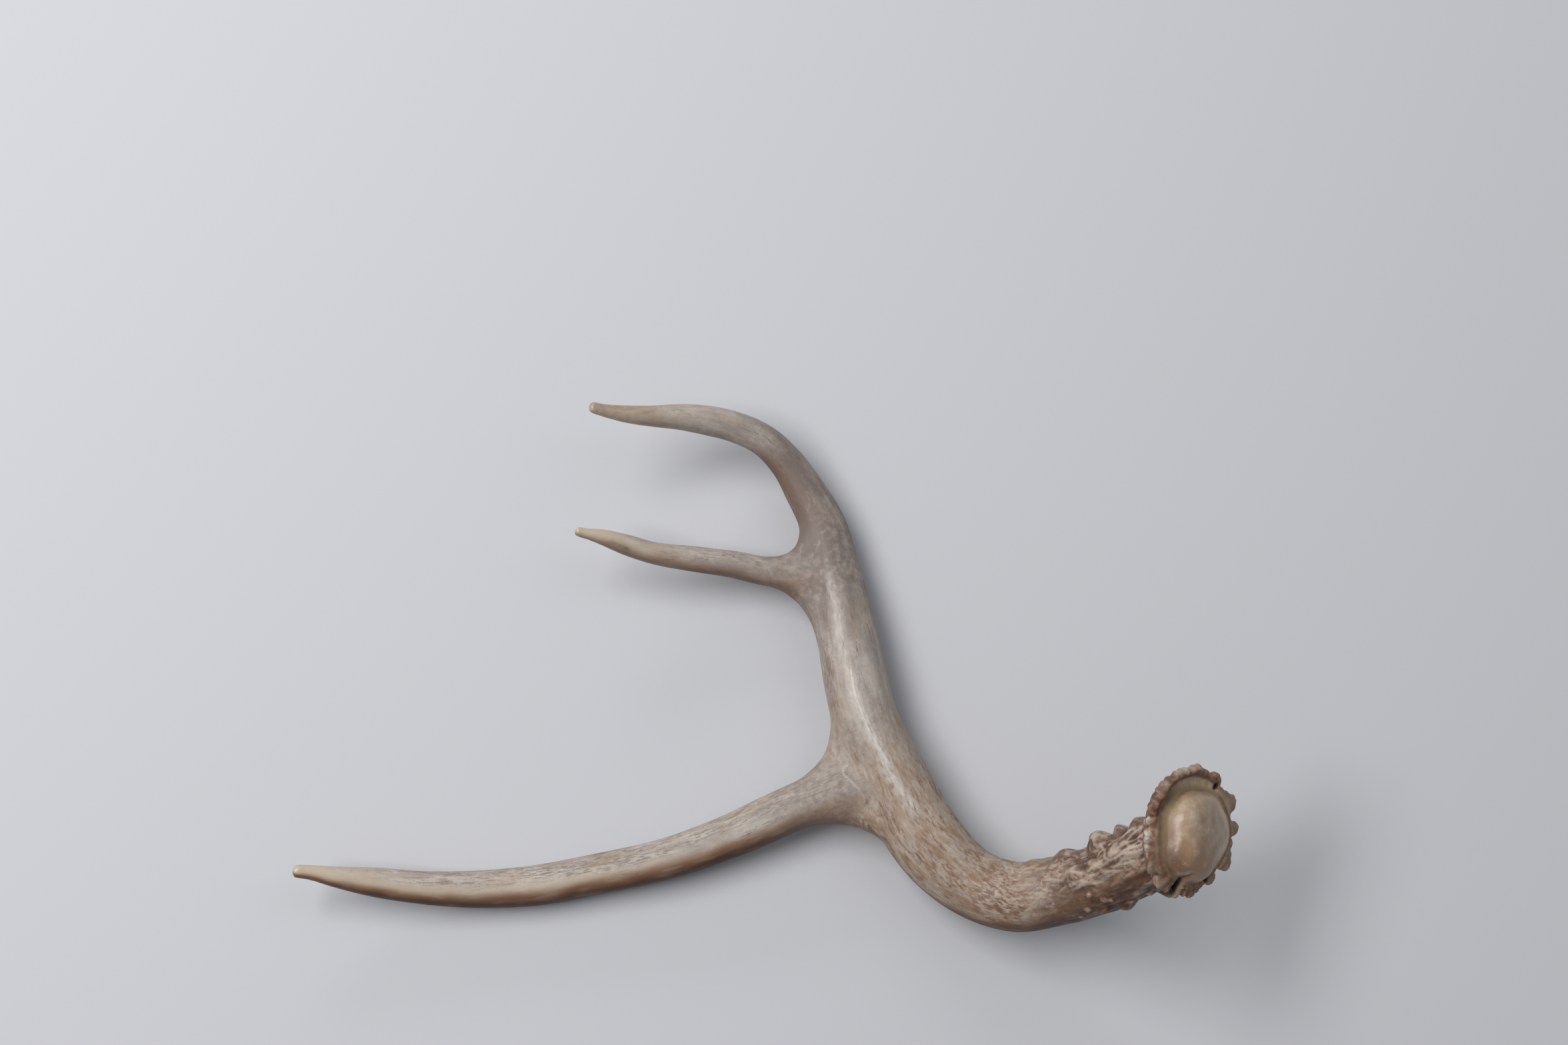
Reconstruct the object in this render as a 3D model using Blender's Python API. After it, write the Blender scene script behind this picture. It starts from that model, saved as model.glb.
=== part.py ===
"""A shed deer antler, lying on its outer side, with its burr and its tips turned up.

It is drawn as a person looking down on it sees it: +X runs from the tip of the long tine towards
the burr, +Y towards the tip of the beam, and +Z up from the surface that it lies on. The tables are in
millimetres, and a row of one is a station on a centre line:
x, y, height above the surface, width seen from above, thickness through.
The skin is grown and cut in millimetres, and each finished branch is then scaled to metres.
"""

import math

import bmesh
import bpy
import numpy as np
from mathutils import Matrix, Vector, kdtree, noise

MM = 0.001

# ---------------------------------------------------------------- driving dimensions, millimetres

BEAM = [  # from inside the burr, round the bend and past both forks, to the beam's own tip
    (161.0, -74.5, 79.0, 27.0, 26.0),
    (151.5, -80.5, 66.0, 26.5, 26.0),
    (139.0, -87.0, 49.0, 26.5, 26.0),
    (122.5, -92.0, 31.0, 27.5, 26.5),
    (105.5, -94.5, 18.5, 28.0, 27.0),
    (90.5, -89.5, 13.8, 28.5, 27.5),
    (70.5, -71.0, 14.2, 31.0, 27.5),
    (57.5, -47.0, 14.2, 30.0, 26.0),
    (47.0, -25.0, 14.0, 28.0, 25.5),
    (41.0, 0.0, 13.4, 26.0, 25.0),
    (37.5, 21.0, 11.4, 24.5, 23.0),
    (34.0, 39.5, 10.1, 22.5, 21.5),
    (29.5, 58.5, 8.9, 20.0, 19.5),
    (22.0, 73.5, 9.6, 17.5, 17.5),
    (13.5, 86.5, 12.5, 14.8, 15.0),
    (3.5, 95.5, 16.0, 13.5, 13.5),
    (-8.0, 100.0, 20.0, 13.2, 12.8),
    (-20.0, 102.0, 24.0, 12.6, 12.0),
    (-30.5, 102.5, 28.0, 11.0, 10.5),
    (-41.5, 102.0, 32.0, 9.0, 9.0),
    (-52.5, 102.0, 36.0, 7.4, 7.4),
    (-63.0, 103.0, 40.0, 5.2, 5.4),
    (-65.5, 103.5, 41.0, 4.4, 4.6),
]
LONG_TINE = [  # from inside the first fork to the tip
    (50.0, -47.5, 13.8, 22.0, 20.0),
    (32.0, -52.5, 13.0, 21.0, 19.0),
    (17.5, -58.0, 12.0, 20.0, 17.5),
    (-8.5, -69.5, 10.6, 18.0, 16.0),
    (-35.5, -79.0, 9.4, 16.8, 15.6),
    (-63.0, -85.0, 7.8, 16.8, 15.4),
    (-90.5, -90.0, 6.9, 16.6, 15.0),
    (-112.5, -91.5, 7.6, 15.2, 14.0),
    (-134.0, -91.0, 10.2, 13.6, 12.6),
    (-155.5, -88.5, 13.4, 12.0, 10.6),
    (-171.0, -86.5, 16.6, 9.0, 8.2),
    (-181.5, -84.7, 19.0, 6.0, 5.8),
    (-184.5, -84.5, 19.8, 5.2, 5.2),
]
SHORT_TINE = [  # from inside the second fork to the tip
    (32.0, 38.5, 11.0, 16.0, 15.0),
    (17.0, 39.0, 11.6, 15.0, 14.0),
    (5.0, 40.0, 12.4, 13.2, 12.6),
    (-8.5, 42.5, 14.2, 11.6, 11.4),
    (-25.5, 44.5, 17.0, 10.8, 10.4),
    (-42.0, 46.5, 20.0, 9.4, 9.0),
    (-53.0, 49.5, 22.6, 8.8, 7.8),
    (-63.5, 52.5, 25.4, 6.5, 6.0),
    (-70.5, 53.7, 27.4, 4.3, 4.3),
    (-72.0, 54.1, 27.8, 4.0, 4.0),
]
# Bone that fills the crotch on each side of a fork, so that tine and beam run into each other.
CROTCHES = [
    [(-2.0, -65.0, 11.2, 12.0, 12.0), (21.0, -54.0, 12.4, 15.0, 14.0), (35.5, -39.5, 13.4, 15.0, 15.0),
     (39.5, -21.5, 13.8, 15.0, 16.0), (40.5, -1.5, 13.4, 13.0, 14.0)],
    [(0.0, -65.5, 11.2, 12.0, 12.0), (22.0, -59.5, 12.4, 14.0, 14.0), (41.0, -59.5, 13.6, 14.0, 16.0),
     (57.0, -66.0, 14.2, 15.0, 18.0), (69.0, -75.5, 14.2, 15.0, 18.0)],
    [(0.0, 42.0, 12.8, 8.0, 9.0), (11.0, 42.0, 12.0, 10.0, 10.5), (20.5, 46.5, 11.2, 11.0, 11.5),
     (24.0, 56.5, 10.4, 10.5, 12.0), (24.5, 66.5, 10.0, 9.0, 11.0)],
    [(-6.0, 41.5, 13.6, 8.0, 9.0), (8.0, 38.5, 12.4, 10.0, 11.0), (20.0, 32.5, 12.0, 12.0, 13.0),
     (29.0, 21.5, 12.2, 12.5, 14.0), (33.5, 5.5, 12.8, 12.0, 14.0)],
]
FORKS = [(40.0, -49.5, 13.5, 44.0), (24.0, 42.5, 11.5, 32.0)]  # middle, and how far its bone is blended
BLENDED_WHOLLY = 1.6  # so that a fork's middle is blended fully, and the blend fades out at its edge

BURR_CENTRE = (168.2, -70.7, 86.0)
BURR_AXIS = (0.656, -0.082, 0.752)  # out of the seal, where the antler dropped from the skull
BURR_PROFILE = [  # radius, and height along the burr's axis, from inside the beam over the rim to the seal
    (9.0, -17.0), (13.5, -14.5), (16.0, -11.0), (18.2, -7.8), (20.4, -5.6), (22.0, -3.4), (22.6, -0.8),
    (22.2, 1.0), (21.0, 1.8), (19.8, 0.8), (18.8, -1.0), (17.8, -0.2), (17.1, 3.0), (15.5, 6.2),
    (12.5, 8.7), (7.5, 10.4),
]
SEAL_TOP = 11.0
RIM_RADIUS, RIM_WIDTH, RIM_TOP = 22.0, 5.0, 2.0  # the part of that profile that the knobs stand on
BURR_KNOBS = [  # place round the rim in degrees, how far it stands out, its half width, its lift
    (4, 4.6, 6, 0.0), (27, 5.2, 9, 0.4), (45, 2.2, 6, 0.0), (62, 4.2, 8, 0.6), (79, 2.0, 7, 0.8),
    (96, 3.2, 8, 0.8), (116, 3.8, 9, 1.6), (133, 5.0, 9, 2.2), (149, 4.4, 8, 2.0), (163, 3.0, 7, 0.4),
    (174, 3.2, 5, -1.2), (186, 3.4, 5, -1.6), (199, 2.8, 5, -1.8), (210, 3.2, 6, -1.0), (223, 3.0, 6, -0.6),
    (239, 4.6, 7, -0.4), (253, 4.4, 6, -0.2), (271, 3.2, 9, 0.0), (296, 2.0, 8, 0.2), (330, 3.8, 8, 0.6),
    (348, 1.6, 6, 0.0),
    (345, -2.0, 85, 0.0),  # the rim is worn down along this side
]

BEAM_KNOBS = [  # distance from the burr, place round the beam in degrees, height, half length, half width
    (70.0, 20, 1.5, 5.2, 3.2), (54.0, 12, 2.6, 6.5, 4.2), (34.0, 6, 4.6, 5.8, 4.8), (20.5, 2, 2.6, 3.9, 3.2),
    (11.0, -6, 2.2, 4.5, 3.9), (20.0, 186, 3.0, 3.6, 2.9), (32.0, 160, 2.2, 3.9, 2.9),
    (40.0, 142, 2.0, 3.2, 2.6), (44.0, 60, 1.4, 4.5, 2.9), (12.0, 60, 1.6, 5.8, 2.6),
    (24.0, 100, 1.5, 6.5, 2.6), (10.0, 130, 1.6, 5.2, 2.6), (30.0, -70, 2.0, 4.5, 3.2),
    (14.0, -50, 2.2, 3.9, 3.2), (12.0, -110, 2.2, 3.9, 3.2), (46.0, -100, 1.4, 4.5, 2.6),
]
KNOB_SEAT = 13.5  # the beam's radius where they stand
PEARLING = {"height": 1.9, "reach": 62.0, "length": 9.0, "width": 3.2, "ends": 136.0}  # ridges by the burr
BEAM_RIDGE = {"height": 0.9, "place": 97.0, "width": 26.0, "from": 140.0, "to": 262.0, "fade": 20.0}
BEAM_EDGE = 2.0  # relief is for the beam alone: it fades out this far off its skin

# Where the branches are parted: a point on the saw cut, and the way the branch runs there.
CUTS = [
    ((6.0, -63.5, 11.4), (-0.92, -0.39, 0.0)),
    ((43.2, -11.5, 13.6), (-0.2, 0.98, 0.0)),
    ((3.0, 40.3, 12.6), (-0.99, 0.12, 0.1)),
    ((26.6, 65.0, 9.8), (-0.4, 0.92, 0.0)),
]
CUT_GAP = 0.3
CUT_SIZE = 56.0
NODES = {  # a point inside each branch
    "lower_beam": (90.5, -89.5, 13.8),
    "long_tine": (-90.5, -90.0, 7.6),
    "middle_beam": (41.0, 0.0, 13.4),
    "short_tine": (-42.0, 46.5, 20.0),
    "beam_tip": (-30.5, 102.5, 28.0),
}
FINISH = {  # colour and roughness
    "lower_beam": ((0.33, 0.23, 0.155, 1.0), 0.62),
    "long_tine": ((0.42, 0.34, 0.255, 1.0), 0.48),
    "middle_beam": ((0.40, 0.345, 0.29, 1.0), 0.52),
    "short_tine": ((0.42, 0.35, 0.27, 1.0), 0.45),
    "beam_tip": ((0.40, 0.34, 0.26, 1.0), 0.45),
}

RING_SIDES = 28
STEP = 1.5  # between the rings of a branch
BURR_SIDES = 150
VOXEL = 1.1
BLEND_PASSES = 90
SOFTEN_PASSES = 1
TRIANGLES = 8900
SHARP = math.radians(50.0)


# ---------------------------------------------------------------- centre lines

def through(rows, step):
    """The rows of a station table joined by one smooth curve, a row about every step millimetres."""
    rows = np.array(rows, float)
    gaps = np.linalg.norm(np.diff(rows[:, :3], axis=0), axis=1)
    at = np.concatenate([[0.0], np.cumsum(gaps)])
    slopes = np.gradient(rows, at, axis=0)
    made = []
    for i, gap in enumerate(gaps):
        for t in np.arange(0.0, 1.0, 1.0 / max(1, round(gap / step))):
            made.append(
                (2 * t**3 - 3 * t**2 + 1) * rows[i]
                + (t**3 - 2 * t**2 + t) * gap * slopes[i]
                + (3 * t**2 - 2 * t**3) * rows[i + 1]
                + (t**3 - t**2) * gap * slopes[i + 1]
            )
    return np.array(made + [rows[-1]])


class Branch:
    """A centre line with, at each sample, the direction it runs in and its two half widths."""

    def __init__(self, rows, step=STEP):
        rows = through(rows, step)
        self.centre = rows[:, :3]
        self.half = rows[:, 3:] / 2
        self.run = np.gradient(self.centre, axis=0)
        self.along = np.concatenate(
            [[0.0], np.cumsum(np.linalg.norm(np.diff(self.centre, axis=0), axis=1))]
        )
        self.run /= np.linalg.norm(self.run, axis=1)[:, None]
        self.side = np.cross(self.run, (0.0, 0.0, 1.0))
        self.side /= np.linalg.norm(self.side, axis=1)[:, None]
        self.top = np.cross(self.side, self.run)

    def rings(self, sides):
        """Rings along the branch, with a rounded end: the last ones close over it."""
        turn = np.linspace(0.0, 2 * math.pi, sides, endpoint=False)[:, None]
        rings = [
            centre + np.cos(turn) * half[0] * side + np.sin(turn) * half[1] * top
            for centre, half, side, top in zip(self.centre, self.half, self.side, self.top)
        ]
        end, ahead = self.centre[-1], self.run[-1] * self.half[-1].mean()
        last = rings[-1] - end
        for lift in np.radians((25.0, 50.0, 72.0)):
            rings.append(end + last * math.cos(lift) + ahead * math.sin(lift))
        return rings, end + ahead

    def places(self, points):
        """(distance along, angle round in degrees, distance from the centre line) of each point."""
        tree = kdtree.KDTree(len(self.centre))
        for i, centre in enumerate(self.centre):
            tree.insert(centre, i)
        tree.balance()
        nearest = np.array([tree.find(p)[1] for p in points])
        offset = points - self.centre[nearest]
        ahead = (offset * self.run[nearest]).sum(1)
        across = (offset * self.side[nearest]).sum(1)
        up = (offset * self.top[nearest]).sum(1)
        return self.along[nearest] + ahead, np.degrees(np.arctan2(up, across)), np.hypot(across, up)


# ---------------------------------------------------------------- meshes

def mesh_of_rings(name, rings, first, last):
    """A closed mesh of rings of points, with a point at each end. Its numbers are millimetres."""
    mesh = bmesh.new()
    loops = [[mesh.verts.new(p) for p in ring] for ring in rings]
    ends = mesh.verts.new(first), mesh.verts.new(last)
    count = len(loops[0])
    for k in range(count):
        n = (k + 1) % count
        mesh.faces.new((ends[0], loops[0][n], loops[0][k]))
        mesh.faces.new((ends[1], loops[-1][k], loops[-1][n]))
        for low, high in zip(loops, loops[1:]):
            mesh.faces.new((low[k], low[n], high[n], high[k]))
    bmesh.ops.recalc_face_normals(mesh, faces=mesh.faces)
    data = bpy.data.meshes.new(name)
    mesh.to_mesh(data)
    mesh.free()
    return data


def branch_mesh(name, rows):
    branch = Branch(rows)
    rings, tip = branch.rings(RING_SIDES)
    return mesh_of_rings(name, rings, branch.centre[0], tip)


def burr_frame():
    """Turns the burr's own axes, with z out of the seal and y up the picture, into the antler's."""
    z = Vector(BURR_AXIS).normalized()
    x = Vector((0.0, 1.0, 0.0)).cross(z).normalized()
    y = z.cross(x)
    return Matrix.Translation(BURR_CENTRE) @ Matrix((x, y, z)).transposed().to_4x4()


def turned(turn, place):
    """The way round in degrees from a place to each angle, between -180 and 180."""
    return (turn - place + 180.0) % 360.0 - 180.0


def knob(turn, place, width):
    """How much of a knob there is at an angle: 1 at its top, with steep sides, and 0 past its width."""
    return np.clip(1.0 - (turned(turn, place) / width) ** 2, 0.0, None) ** 0.6


def burr_mesh():
    """The coronet's knobs, the moat inside them and the domed seal, turned from one profile."""
    place = burr_frame()
    turn = np.linspace(0.0, 360.0, BURR_SIDES, endpoint=False)
    out = sum(height * knob(turn, at, width) for at, height, width, _ in BURR_KNOBS)
    lift = sum(lifted * knob(turn, at, 1.3 * width) for at, _, width, lifted in BURR_KNOBS)
    rings = []
    for radius, height in BURR_PROFILE:
        share = max(0.0, 1.0 - abs(radius - RIM_RADIUS) / RIM_WIDTH) * (height < RIM_TOP)
        rings.append([
            place @ Vector((r * math.cos(math.radians(a)), r * math.sin(math.radians(a)), h))
            for r, a, h in zip(radius + share * out, turn, height + share * lift)
        ])
    inside, top = place @ Vector((0.0, 0.0, BURR_PROFILE[0][1])), place @ Vector((0.0, 0.0, SEAL_TOP))
    return mesh_of_rings("burr", rings, inside, top)


def object_of(name, data):
    made = bpy.data.objects.new(name, data)
    bpy.context.scene.collection.objects.link(made)
    return made


def with_modifiers_applied(made):
    bpy.context.view_layer.update()
    data = bpy.data.meshes.new_from_object(made.evaluated_get(bpy.context.evaluated_depsgraph_get()))
    made.modifiers.clear()
    made.data = data


def points_of(made):
    flat = np.empty(len(made.data.vertices) * 3, np.float32)
    made.data.vertices.foreach_get("co", flat)
    return flat.reshape(-1, 3).astype(float)


def joined_branches():
    """Every branch, crotch and the burr grown together into one skin."""
    mesh = bmesh.new()
    tables = {"beam": BEAM, "long_tine": LONG_TINE, "short_tine": SHORT_TINE}
    tables.update({f"crotch_{n}": rows for n, rows in enumerate(CROTCHES)})
    for name, rows in tables.items():
        mesh.from_mesh(branch_mesh(name, rows))
    mesh.from_mesh(burr_mesh())
    data = bpy.data.meshes.new("antler")
    mesh.to_mesh(data)
    mesh.free()
    antler = object_of("antler", data)
    skin = antler.modifiers.new("one skin", "REMESH")
    skin.mode = "VOXEL"
    skin.voxel_size = VOXEL
    with_modifiers_applied(antler)
    return antler


def smoothed(antler, passes, near=None):
    """Evens out the skin, all over or only near the forks."""
    if near:
        points = points_of(antler)
        group = antler.vertex_groups.new(name="blend")
        weight = np.zeros(len(points))
        for x, y, z, reach in near:
            away = np.linalg.norm(points - (x, y, z), axis=1)
            weight = np.maximum(weight, np.clip(BLENDED_WHOLLY * (1.0 - away / reach), 0.0, 1.0))
        for i in np.flatnonzero(weight):
            group.add([int(i)], float(weight[i]), "REPLACE")
    smooth = antler.modifiers.new("smooth", "SMOOTH")
    smooth.factor = 0.5
    smooth.iterations = passes
    if near:
        smooth.vertex_group = group.name
    with_modifiers_applied(antler)


# ---------------------------------------------------------------- relief

def pearling(along, turn):
    """Broken ridges and furrows that run down from the burr and fade out."""
    fade = math.exp(-((max(along, 0.0) / PEARLING["reach"]) ** 2))
    around = KNOB_SEAT / PEARLING["width"]
    at = Vector((along / PEARLING["length"], around * math.cos(turn), around * math.sin(turn)))
    return PEARLING["height"] * fade * (0.6 - 2.2 * abs(noise.noise(at)))


def beam_knobs(along, turn):
    """The separate lumps along the beam near the burr."""
    raised = np.zeros(len(along))
    for distance, place, height, length, width in BEAM_KNOBS:
        off = np.radians(turned(turn, place)) * KNOB_SEAT
        from_top = ((along - distance) / length) ** 2 + (off / width) ** 2
        raised += height * np.clip(1.0 - from_top, 0.0, None) ** 1.3
    return raised


def beam_ridge(along, turn):
    """The blunt ridge along the upper side of the beam, from before the first fork to past the second."""
    start = np.clip((along - BEAM_RIDGE["from"]) / BEAM_RIDGE["fade"], 0.0, 1.0)
    end = np.clip((BEAM_RIDGE["to"] - along) / BEAM_RIDGE["fade"], 0.0, 1.0)
    across = np.exp(-((turned(turn, BEAM_RIDGE["place"]) / BEAM_RIDGE["width"]) ** 2))
    return BEAM_RIDGE["height"] * across * start * end


def relief(points):
    """How far each point of the skin is raised."""
    beam = Branch(BEAM)
    along, turn, away = beam.places(points)
    on_beam = np.clip(1.0 - (away - beam.half.max() - BEAM_EDGE) / BEAM_EDGE, 0.0, 1.0) * (along > 0.0)
    raised = beam_knobs(along, turn) + beam_ridge(along, turn)
    for i in np.flatnonzero((along < PEARLING["ends"]) & (on_beam > 0.0)):
        raised[i] += pearling(along[i], math.radians(turn[i]))
    return raised * on_beam


def raise_relief(antler):
    points = points_of(antler)
    normals = np.empty(len(antler.data.vertices) * 3, np.float32)
    antler.data.vertices.foreach_get("normal", normals)
    points += normals.reshape(-1, 3) * relief(points)[:, None]
    antler.data.vertices.foreach_set("co", points.astype(np.float32).ravel())


def thinned(antler, triangles):
    """The same surface with fewer triangles, most of them where it is knobbly."""
    antler.modifiers.new("triangles", "TRIANGULATE")
    with_modifiers_applied(antler)
    fewer = antler.modifiers.new("fewer", "DECIMATE")
    fewer.ratio = triangles / len(antler.data.polygons)
    with_modifiers_applied(antler)


# ---------------------------------------------------------------- nodes

def sawn(antler):
    """Parts the branches where each leaves its fork, with a thin gap between them."""
    for n, (point, run) in enumerate(CUTS):
        blade = bmesh.new()
        bmesh.ops.create_cube(blade, size=1.0)
        data = bpy.data.meshes.new(f"blade_{n}")
        facing = Vector(run).to_track_quat("Z", "Y").to_matrix().to_4x4()
        size = Matrix.Diagonal((CUT_SIZE, CUT_SIZE, CUT_GAP, 1.0))
        blade.transform(Matrix.Translation(point) @ facing @ size)
        blade.to_mesh(data)
        blade.free()
        cutter = object_of(f"blade_{n}", data)
        cut = antler.modifiers.new(f"cut {n}", "BOOLEAN")
        cut.operation = "DIFFERENCE"
        cut.object = cutter
        with_modifiers_applied(antler)
        bpy.data.objects.remove(cutter)


def islands(mesh):
    """The separate bodies of a bmesh, as lists of faces."""
    for start in mesh.faces:
        if start.tag:
            continue
        start.tag = True
        body = [start]
        for face in body:
            for edge in face.edges:
                for other in edge.link_faces:
                    if not other.tag:
                        other.tag = True
                        body.append(other)
        yield body


def finish_of(name):
    colour, roughness = FINISH[name]
    material = bpy.data.materials.new(name)
    material.use_nodes = True
    shader = material.node_tree.nodes["Principled BSDF"]
    shader.inputs["Base Color"].default_value = colour
    shader.inputs["Roughness"].default_value = roughness
    shader.inputs["Metallic"].default_value = 0.0
    return material


def parted(antler):
    """One object for each branch, in metres, resting on the surface at its lowest point."""
    whole = bmesh.new()
    whole.from_mesh(antler.data)
    down = Vector((0.0, 0.0, -min(v.co.z for v in whole.verts)))
    for body in islands(whole):
        piece = bmesh.new()
        corners = {}
        for face in body:
            for v in face.verts:
                if v not in corners:
                    corners[v] = piece.verts.new((v.co + down) * MM)
            piece.faces.new([corners[v] for v in face.verts])
        name = min(NODES, key=lambda node: min((v.co - Vector(NODES[node])).length for v in corners))
        bmesh.ops.triangulate(piece, faces=piece.faces)
        data = bpy.data.meshes.new(name)
        piece.to_mesh(data)
        piece.free()
        data.shade_smooth()
        data.set_sharp_from_angle(angle=SHARP)
        data.materials.append(finish_of(name))
        object_of(name, data)
    whole.free()
    bpy.data.objects.remove(antler)


def main():
    for old in list(bpy.data.objects):
        bpy.data.objects.remove(old)
    antler = joined_branches()
    smoothed(antler, BLEND_PASSES, near=FORKS)
    raise_relief(antler)
    smoothed(antler, SOFTEN_PASSES)
    thinned(antler, TRIANGLES)
    sawn(antler)
    parted(antler)


main()
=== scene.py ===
"""The look of a shed deer antler that lies on its outer side, seen from above as it was photographed.

The shape is grown again from the station tables that its solids are made from, as one fine skin without
saw cuts, and gets its pearling, furrows and worn places, and colours of which some are partly painted light
and shade. The tables are in millimetres, and a row of one is:
x, y, height above the surface, width seen from above, thickness through.
"""

import itertools
import math

import bmesh
import bpy
import numpy as np
from mathutils import Matrix, Vector, kdtree, noise


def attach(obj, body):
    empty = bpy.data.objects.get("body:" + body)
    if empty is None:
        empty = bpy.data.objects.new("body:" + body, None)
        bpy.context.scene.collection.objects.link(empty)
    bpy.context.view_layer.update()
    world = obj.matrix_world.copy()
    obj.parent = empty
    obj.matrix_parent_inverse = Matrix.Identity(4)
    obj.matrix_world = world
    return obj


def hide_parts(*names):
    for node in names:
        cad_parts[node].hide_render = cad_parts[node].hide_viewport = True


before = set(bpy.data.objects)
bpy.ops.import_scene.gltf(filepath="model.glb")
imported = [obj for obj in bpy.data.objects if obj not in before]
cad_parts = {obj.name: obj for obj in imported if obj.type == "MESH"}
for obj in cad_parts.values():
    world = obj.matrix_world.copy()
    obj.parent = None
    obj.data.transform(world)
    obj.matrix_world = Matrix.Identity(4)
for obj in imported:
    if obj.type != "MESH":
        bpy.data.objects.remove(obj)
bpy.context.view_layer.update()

MM = 0.001

# ---------------------------------------------------------------- the antler's dimensions, millimetres

BEAM = [  # from inside the burr, round the bend and past both forks, to the beam's own tip
    (161.0, -74.5, 79.0, 27.0, 26.0),
    (151.5, -80.5, 66.0, 26.5, 26.0),
    (139.0, -87.0, 49.0, 26.5, 26.0),
    (122.5, -92.0, 31.0, 27.5, 26.5),
    (105.5, -94.5, 18.5, 28.0, 27.0),
    (90.5, -89.5, 13.8, 28.5, 27.5),
    (70.5, -71.0, 14.2, 31.0, 27.5),
    (57.5, -47.0, 14.2, 30.0, 26.0),
    (47.0, -25.0, 14.0, 28.0, 25.5),
    (41.0, 0.0, 13.4, 26.0, 25.0),
    (37.5, 21.0, 11.4, 24.5, 23.0),
    (34.0, 39.5, 10.1, 22.5, 21.5),
    (29.5, 58.5, 8.9, 20.0, 19.5),
    (22.0, 73.5, 9.6, 17.5, 17.5),
    (13.5, 86.5, 12.5, 14.8, 15.0),
    (3.5, 95.5, 16.0, 13.5, 13.5),
    (-8.0, 100.0, 20.0, 13.2, 12.8),
    (-20.0, 102.0, 24.0, 12.6, 12.0),
    (-30.5, 102.5, 28.0, 11.0, 10.5),
    (-41.5, 102.0, 32.0, 9.0, 9.0),
    (-52.5, 102.0, 36.0, 7.4, 7.4),
    (-63.0, 103.0, 40.0, 5.2, 5.4),
    (-66.4, 103.7, 41.3, 4.7, 4.8),
]
LONG_TINE = [  # from inside the first fork to the tip
    (50.0, -47.5, 13.8, 22.0, 20.0),
    (32.0, -52.5, 13.0, 21.0, 19.0),
    (17.5, -58.0, 12.0, 20.0, 17.5),
    (-8.5, -69.5, 10.6, 18.0, 16.0),
    (-35.5, -79.0, 9.4, 16.8, 15.6),
    (-63.0, -85.0, 7.8, 16.8, 15.4),
    (-90.5, -90.0, 6.9, 16.6, 15.0),
    (-112.5, -91.5, 7.6, 15.2, 14.0),
    (-134.0, -91.0, 10.2, 13.6, 12.6),
    (-155.5, -88.5, 13.4, 12.0, 10.6),
    (-171.0, -86.4, 16.6, 8.3, 7.9),
    (-179.5, -84.9, 18.6, 6.2, 6.0),
    (-185.4, -84.3, 20.0, 5.5, 5.3),
]
SHORT_TINE = [  # from inside the second fork to the tip
    (32.0, 38.5, 11.0, 16.0, 15.0),
    (17.0, 39.0, 11.6, 15.0, 14.0),
    (5.0, 40.0, 12.4, 13.2, 12.6),
    (-8.5, 42.5, 14.2, 11.6, 11.4),
    (-25.5, 44.5, 17.0, 10.8, 10.4),
    (-42.0, 46.5, 20.0, 9.4, 9.0),
    (-53.0, 49.5, 22.6, 8.8, 7.8),
    (-63.5, 52.5, 25.4, 6.5, 6.0),
    (-70.5, 53.7, 27.4, 4.4, 4.3),
    (-72.8, 54.2, 28.0, 4.2, 4.1),
]
# Bone that fills the crotch on each side of a fork, so that tine and beam run into each other.
CROTCHES = [
    [(-2.0, -65.0, 11.2, 12.0, 12.0), (21.0, -54.0, 12.4, 15.0, 14.0), (35.5, -39.5, 13.4, 15.0, 15.0),
     (39.5, -21.5, 13.8, 15.0, 16.0), (40.5, -1.5, 13.4, 13.0, 14.0)],
    [(0.0, -65.5, 11.2, 12.0, 12.0), (22.0, -59.5, 12.4, 14.0, 14.0), (41.0, -59.5, 13.6, 14.0, 16.0),
     (57.0, -66.0, 14.2, 15.0, 18.0), (69.0, -75.5, 14.2, 15.0, 18.0)],
    [(0.0, 42.0, 12.8, 8.0, 9.0), (11.0, 42.0, 12.0, 10.0, 10.5), (20.5, 46.5, 11.2, 11.0, 11.5),
     (24.0, 56.5, 10.4, 10.5, 12.0), (24.5, 66.5, 10.0, 9.0, 11.0)],
    [(-6.0, 41.5, 13.6, 8.0, 9.0), (8.0, 38.5, 12.4, 10.0, 11.0), (20.0, 32.5, 12.0, 12.0, 13.0),
     (29.0, 21.5, 12.2, 12.5, 14.0), (33.5, 5.5, 12.8, 12.0, 14.0)],
]
BLUNT = 0.6  # how far a tip's rounding reaches, of its half width
FORKS = [(40.0, -49.5, 13.5, 44.0), (24.0, 42.5, 11.5, 32.0)]  # middle, and how far its bone is blended
BLENDED_WHOLLY = 1.6  # so that a fork's middle is blended fully, and the blend fades out at its edge

BURR_CENTRE = (168.2, -70.7, 86.0)
BURR_AXIS = (0.656, -0.082, 0.752)  # out of the seal, where the antler dropped from the skull
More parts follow.
